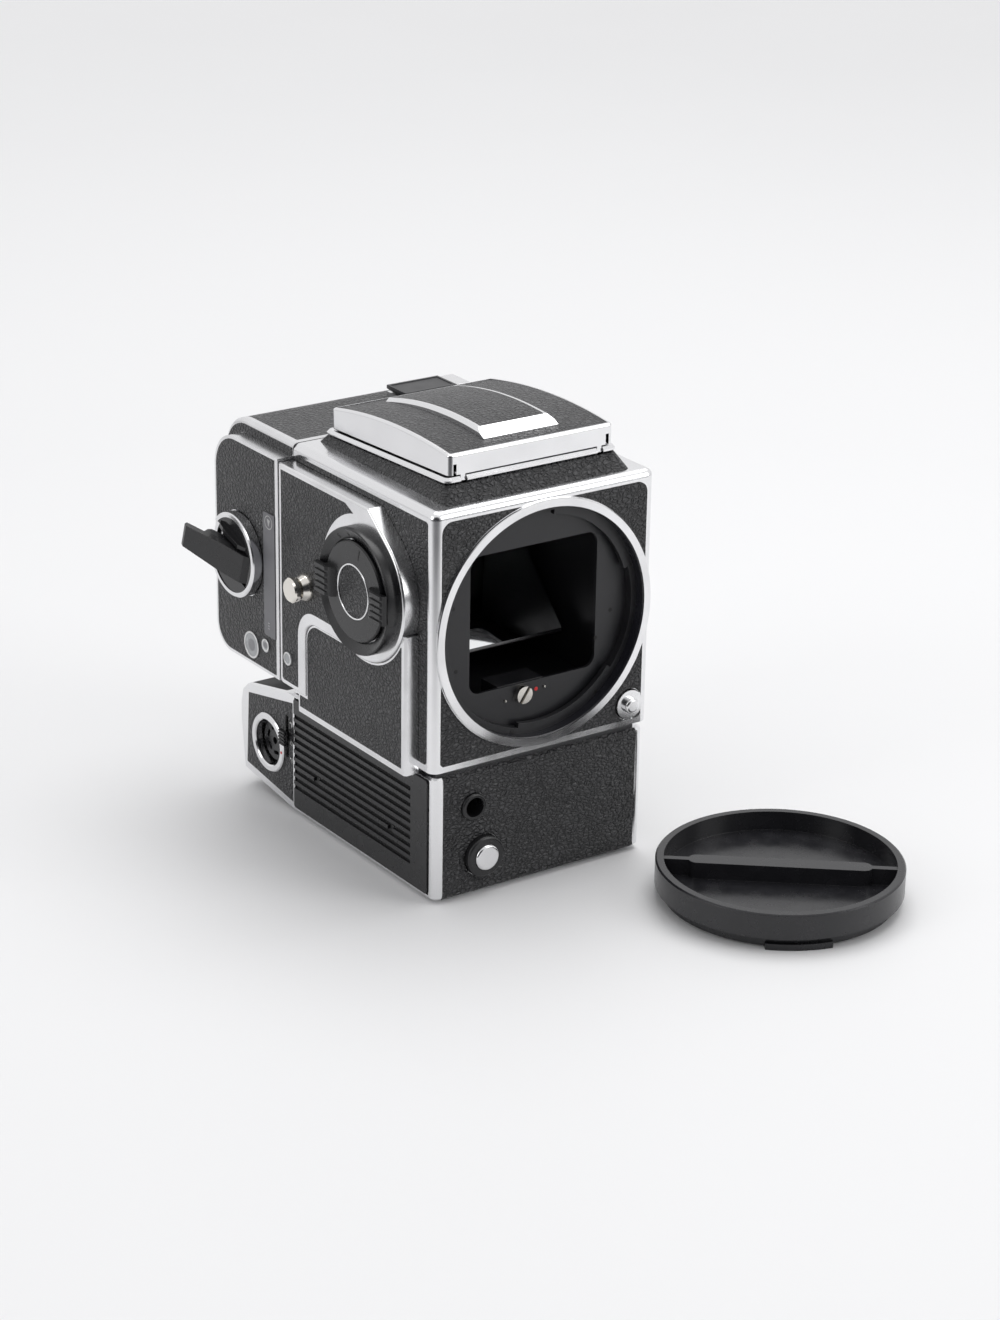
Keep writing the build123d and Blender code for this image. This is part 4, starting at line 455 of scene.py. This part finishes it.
# Pieces. The places without a name were measured in the photograph.
dial_low, dial_high = corners("dial_ring")
dial_radius = (dial_high.z - dial_low.z) / 2
dial_seat = side_centre("dial_ring")
dial_seat.x = dial_high.x
SUNK = 0.02


def dress_mount():
    """Black inner wall of the lens mount, and the screws round the throat."""
    liner_outer, liner_inner, screw_circle = 39.48, 39.15, 38.3
    wall = corners("lens_mount_ring")[1].y
    profile = [(liner_outer, 0.35), (liner_outer, wall), (liner_inner, wall), (liner_inner, 0.55)]
    turned("throat_liner", Vector((0, 0, 0)), BACK, profile, "camera", "black_metal",
           "liner_black", 128)
    for i, degrees in enumerate((-105, -52, 18, 78, 140, 200)):
        angle = math.radians(degrees)
        spot = Vector((screw_circle * math.cos(angle), wall + SUNK,
                       screw_circle * math.sin(angle)))
        disc(f"bayonet_screw_{i}", spot, FRONT, 0.75, 0.12, "camera", "gear_steel",
             "screw_black", 0.05, 20)


def dress_throat():
    """Guide pins, black discs painted as the shade in the oil holes, and the red mark on the plate
    behind the lens mount.
    """
    face = corners("front_baffle")[0].y
    for i, (x, z) in enumerate(((-10.8, -27.2), (4.7, -25.3))):
        disc(f"throat_pin_{i}", Vector((x, face + 0.05, z)), FRONT, 0.42, 0.8, "camera",
             "gear_steel", "pin_metal", 0.15, 20)
    # Flat black discs on the plate are painted shade where the oil holes are.
    for i, (x, z) in enumerate(((-30.2, -12.8), (25.3, -12.6), (31.0, -4.0), (-31.5, 9.0))):
        disc(f"throat_hole_{i}", Vector((x, face + SUNK, z)), FRONT, 0.75, 0.06, "camera",
             "black_metal", "engraved", 0.02, 20)
    disc("throat_mark", Vector((1.6, face + SUNK, -25.6)), FRONT, 0.7, 0.08, "camera",
         "black_metal", "mark_red", 0.03, 20)


def dress_dial():
    """Dished ring with the figures 5 to 1 engraved on its slope."""
    rim = dial_radius
    profile = [(rim - 3.9, 0.05), (rim, 0), (rim, 2.7), (rim - 0.25, 3.55), (rim - 0.6, 3.8),
               (rim - 0.9, 3.7), (rim - 3.8, 2.3), (rim - 3.9, 2.1)]
    cup = turned("dial_cup", dial_seat, LEFT, profile, "camera", "black_plastic", steps=128)
    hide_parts("dial_ring")
    slope = math.atan2(3.7 - 2.3, 3.8 - 0.9)
    figure_height, figure_rise, figure_inset = 1.8, 3.02, 2.35
    first_angle, angle_step = 60, 19
    for i, figure in enumerate("54321"):
        out = radial(first_angle + angle_step * i)
        facing = LEFT * math.cos(slope) - out * math.sin(slope)
        place = dial_seat + LEFT * figure_rise + out * (rim - figure_inset)
        lettering(f"dial_figure_{figure}", figure, place, figure_height, LEFT.cross(out), facing,
                  "camera", "black_plastic", "engraved")


def dress_knob():
    """Knob in the dished ring: disc, bright ring, leather, two ribbed lugs and the index."""
    profile = [(0.001, 1.9), (16.9, 1.9), (16.9, 3.0), (16.5, 3.5), (9.5, 3.6), (9.4, 3.1),
               (0.001, 3.1)]
    knob = turned("knob_disc", dial_seat, LEFT, profile, "mode_knob", "black_plastic", steps=128)
    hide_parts("selector_knob")
    trim = ring("knob_ring", dial_seat + LEFT * 3.15, LEFT, 9.35, 8.75, 0.62, "mode_knob",
                "chrome", steps=96)
    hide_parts("knob_trim")
    disc("knob_leather", dial_seat + LEFT * 3.05, LEFT, 8.8, 0.4, "mode_knob", "leather",
         edge=0.15)
    lug = [(10.2, 3.4), (16.3, 3.4), (16.3, 4.05), (20.7, 4.05), (20.6, 5.0), (19.7, 5.6),
           (13.2, 5.6), (11.4, 5.0)]
    rib = [(12.6, 5.4), (20.0, 5.4), (19.6, 6.1), (13.4, 6.1)]
    lug_width, rib_start, rib_pitch, rib_width = 10.0, -4.9, 2.15, 1.2
    for name, side in (("rear", 1), ("front", -1)):
        along = BACK * side
        lug_outline, rib_outline = ([(r, side * h) for r, h in shape][::side]
                                    for shape in (lug, rib))
        plate(f"knob_lug_{name}", lug_outline, dial_seat - UP * lug_width / 2, along, UP,
              lug_width, "mode_knob", "black_plastic")
        for i in range(5):
            place = dial_seat + UP * (rib_pitch * i + rib_start)
            plate(f"knob_rib_{name}_{i}", rib_outline, place, along, UP, rib_width, "mode_knob",
                  "black_plastic")
    out = radial(104)
    line = rounded(0.5, 3.8, (0.2, 0.2, 0.2, 0.2), 4)
    plate("knob_index", line, dial_seat + LEFT * 3.53 + out * 13.6, LEFT.cross(out), LEFT, 0.06,
          "mode_knob", "black_plastic", "engraved")


def dress_magazine():
    """Label strip beside the front rail, and rims of the two windows."""
    side = corners("magazine_leather")[0].x
    strip = rounded(7.3, 44.2, (1.2, 0.3, 0.3, 1.2))
    plate("label_strip", strip, Vector((side + 0.05, 91.05, -2.3)), FRONT, LEFT, 0.2,
          "magazine", "black_plastic", "strip_grey")
    strip_face = side - 0.15
    spot = Vector((strip_face, 91.2, 16.6))
    ring("label_ring", spot, LEFT, 2.5, 2.05, 0.08, "magazine", "black_plastic", "mark_grey")
    plate("label_triangle", [(-0.9, 1.2), (1.0, 0.9), (0.1, -1.4)], spot, FRONT, LEFT, 0.06,
          "magazine", "black_plastic", "mark_grey")
    for i in range(3):
        bar(f"label_tick_{i}", Vector((strip_face, 91.6, -19.6 - 1.0 * i)), (0.9, 0.25, 0.05), 0,
            LEFT, "magazine", "black_plastic", "mark_grey")
    for name, y, z, radius in (("counter", 103.4, -31.3, 4.8), ("state", 94.1, -28.4, 2.3)):
        spot = Vector((side - 0.08, y, z))
        ring(name + "_rim", spot, LEFT, radius, radius - 0.75, 0.25, "magazine", "chrome",
             "rim_pale")
        disc(name + "_figure", spot + LEFT * SUNK, LEFT, radius * 0.45, 0.03, "magazine",
             "window", "mark_dark", 0.01)


def dress_base():
    """Marks of the selector, the socket's red dot, and the cover's screws."""
    face = corners("base_leather")[0].x - 0.01
    for i, z in enumerate((-58.0, -71.3)):
        bar(f"lever_mark_{i}", Vector((face, 89.6, z)), (1.7, 0.28, 0.05), math.radians(90),
            LEFT, "camera", "black_plastic", "mark_white")
        disc(f"lever_dot_{i}", Vector((face, 90.6, z + 0.5)), LEFT, 0.28, 0.05, "camera",
             "black_plastic", "mark_white", 0.02, 16)
    ring("lever_mark_2", Vector((face, 90.0, -65.0)), LEFT, 0.75, 0.5, 0.05, "camera",
         "black_plastic", "mark_white", 24)
    dot_place = side_centre("round_socket") + Vector((0.05, -9.35, -0.5))
    disc("socket_dot", dot_place, LEFT, 0.55, 0.12, "camera", "black_plastic", "mark_red", 0.04,
         20)
    cover_body = frame["nodes"]["battery_cover"].parent.name.removeprefix("body:")
    cover_low, cover_high = corners("battery_cover")
    screw_rise, slot_rise = 0.7, 0.71
    for i, y in enumerate((cover_low.y + 21.7, cover_high.y - 14.7)):
        spot = Vector((cover_low.x + 1.55, y, -72.6))
        disc(f"cover_screw_{i}", spot, LEFT, 1.35, screw_rise, cover_body, "gear_steel",
             "screw_black", 0.15, 24)
        # The slot is a flat black bar: painted shade where the slot is.
        bar(f"cover_screw_slot_{i}", spot + LEFT * slot_rise, (2.2, 0.35, 0.04), 0.6 + i, LEFT,
            cover_body, "gear_steel", "engraved")


def dress_signal():
    """Rim of the small window beside the winder plate."""
    low, high = corners("signal_window")
    radius = (high.z - low.z) / 2
    ring("signal_rim", side_centre("signal_window") + RIGHT * 0.05, LEFT, radius, radius - 0.65,
         0.25, "camera", "chrome", "rim_pale")


def dress_studs():
    """Cone between the collar and the head of each strap stud."""
    low, high = corners("strap_studs")
    centre = side_centre("strap_studs")
    radius = (high.z - low.z) / 2
    reach = 7.0
    profile = [(2.2, 1.5), (radius + 0.5, 0.3), (radius + 0.5, 1.4), (radius + 0.1, 2.1),
               (radius - 0.6, 3.7), (2.2, 3.8)]
    for name, x, axis in (("left", low.x + reach, LEFT), ("right", high.x - reach, RIGHT)):
        turned(f"stud_cone_{name}", Vector((x, centre.y, centre.z)), axis, profile, "camera",
               "nickel", steps=48)


def dress_base_front():
    """Leather of the base's front wrapped over its upper and lower edges, and the cover's seam."""
    low, high = corners("base_shell")
    upper = [(-0.15, -2.2), (0.1, -2.2), (0.2, -0.9), (0.95, -0.1), (0.7, 0.08), (-0.15, -0.75)]
    lower = [(-0.15, 1.6), (-0.15, 0.75), (0.7, -0.05), (0.95, 0.1), (0.2, 0.9), (0.1, 1.6)]
    end_gap = 3.4
    length = 2 * (high.x - end_gap)
    for name, outline, level in (("upper", upper, high.z), ("lower", lower, low.z)):
        plate(f"base_edge_{name}", outline, Vector((-length / 2, low.y, level)), BACK, RIGHT,
              length, "camera", "leather")
    cover = corners("battery_cover")[1]
    seam_place = Vector((low.x + 0.1, cover.y + 0.55, (cover.z + low.z) / 2 + 0.8))
    bar("cover_seam", seam_place, (0.4, cover.z - low.z - 4.0, 0.12), 0, LEFT, "camera",
        "chrome", "rim_pale")


def round_plate_corner():
    """Leather filling the inner corner of the winder plate's patch to a wide round."""
    corner_y, corner_z, radius, overlap, steps = 73.4, -7.4, 10.5, 0.3, 10
    centre = Vector((dial_high.x + 0.1, corner_y - radius, corner_z - radius))
    reach = radius + overlap
    arc = [radial(90 - 90 * i / steps) * radius for i in range(steps + 1)]
    outline = [(0, reach)] + [(out.y, out.z) for out in arc] + [(reach, 0), (reach, reach)]
    outline = [(-back, up) for back, up in outline]
    plate("plate_corner_leather", outline, centre, FRONT, LEFT, 0.22, "camera", "leather")


# Studio
def light_area(name, place, target, size, power):
    """Rectangular lamp aimed at a point, in metres."""
    data = bpy.data.lights.new(name, "AREA")
    data.shape = "RECTANGLE"
    data.size, data.size_y = size
    data.energy = power
    lamp = add_object(name, data)
    lamp.location = place
    aim = Vector(target) - Vector(place)
    lamp.rotation_euler = aim.to_track_quat("-Z", "Y").to_euler()


def camera_side(owner, vector, start, end):
    """0 to 1 as a place or direction goes from start to end towards the camera's side."""
    toward_camera = (-0.58, -0.81, 0.0)
    dot = add_node(owner, "VectorMath", {0: vector, 1: toward_camera}, operation="DOT_PRODUCT")
    return smooth_step(owner, dot.outputs["Value"], start, end)


def ray_share(owner, kind, value):
    """The value for rays of one kind, and 0 for others."""
    return calculate(owner, "MULTIPLY", add_node(owner, "LightPath").outputs[kind], value)


def make_floor():
    """Wide pale table; metal sees the darker room where it ends on the camera's side."""
    level, half = cad_box[0].z, 12.0
    paint, room_dark = (0.80, 0.80, 0.805), (0.05, 0.05, 0.055)
    mesh = bpy.data.meshes.new("floor")
    mesh.from_pydata([(a * half, b * half, level) for a, b in ((-1, -1), (1, -1), (1, 1), (-1, 1))],
                     [], [(0, 1, 2, 3)])
    mat = new_material("floor_paint", paint, 0.6, 0.0, Emission_Color=(1, 1, 1, 1))
    link(mat, spread(mat, noise(mat, 8.0), 0.55, 0.65), "Roughness")
    place = object_place(mat)
    dark = ray_share(mat, "Is Glossy Ray", camera_side(mat, place, 0.16, 0.42))
    link(mat, mix_colors(mat, dark, paint, room_dark), "Base Color")
    reach = add_node(mat, "VectorMath", {0: place}, operation="LENGTH").outputs["Value"]
    glow = spread(mat, reach, 0.0, 0.42, 0.5, 3.2)
    link(mat, ray_share(mat, "Is Camera Ray", glow), "Emission Strength")
    mesh.materials.append(mat)
    add_object("floor", mesh)


def make_world():
    """Pale room, greyer at the horizon; metal sees it bright, and dark behind the camera."""
    horizon, zenith, zenith_height = (0.38, 0.38, 0.39), (0.95, 0.95, 0.96), 0.8
    seen_by_metal, behind_camera = (1.2, 1.2, 1.21), (0.04, 0.04, 0.045)
    seen_by_camera, strength = (1.4, 1.4, 1.4), 0.75
    world = bpy.data.worlds.new("studio")
    bpy.context.scene.world = world
    world.use_nodes = True
    direction = add_node(world, "TexCoord").outputs["Generated"]
    height = add_node(world, "SeparateXYZ", {"Vector": direction}).outputs["Z"]
    ramp = add_node(world, "ValToRGB", {"Fac": height})
    low_stop, high_stop = ramp.color_ramp.elements
    low_stop.color, high_stop.color = (*horizon, 1), (*zenith, 1)
    high_stop.position = zenith_height
    rays = add_node(world, "LightPath").outputs
    behind = ray_share(world, "Is Glossy Ray", camera_side(world, direction, 0.55, 0.85))
    color = mix_colors(world, rays["Is Glossy Ray"], ramp.outputs["Color"], seen_by_metal)
    color = mix_colors(world, behind, color, behind_camera)
    color = mix_colors(world, rays["Is Camera Ray"], color, seen_by_camera)
    background = world.node_tree.nodes["Background"]
    world.node_tree.links.new(color, background.inputs["Color"])
    background.inputs["Strength"].default_value = strength


def make_camera():
    """Camera at the photograph's viewpoint, found from the body's front corners."""
    place = Vector((-580.1, -803.2, 383.9)) * MM
    yaw, pitch, roll = math.radians(34.98), math.radians(21.83), math.radians(0.92)
    focal_pixels, image_height, sensor = 3290, 1320, 36
    level = Vector((math.cos(yaw), -math.sin(yaw), 0))
    forward = Vector((math.sin(yaw) * math.cos(pitch), math.cos(yaw) * math.cos(pitch),
                      -math.sin(pitch)))
    upright = level.cross(forward)
    right = math.cos(roll) * level + math.sin(roll) * upright
    upward = -math.sin(roll) * level + math.cos(roll) * upright
    data = bpy.data.cameras.new("camera")
    data.sensor_width = sensor
    data.lens = focal_pixels * sensor / image_height
    data.clip_start, data.clip_end = 0.05, 50
    camera = add_object("camera", data)
    turn = Matrix((right, upward, -forward)).transposed().to_4x4()
    camera.matrix_world = Matrix.Translation(place) @ turn
    bpy.context.scene.camera = camera


dress_mount()
dress_throat()
dress_dial()
dress_knob()
dress_magazine()
dress_base()
dress_signal()
dress_studs()
dress_base_front()
round_plate_corner()
make_floor()
make_world()
light_area("overhead", (0.35, 0.25, 1.15), (0.0, 0.03, 0.0), (1.1, 0.9), 9.0)
light_area("front_right", (0.85, -1.1, 0.55), (0.0, 0.0, -0.02), (0.7, 0.9), 5.0)
light_area("left_side", (-1.3, 0.1, 0.55), (-0.05, 0.05, 0.0), (0.6, 0.8), 3.0)
make_camera()

scene = bpy.context.scene
scene.view_settings.view_transform = "Standard"
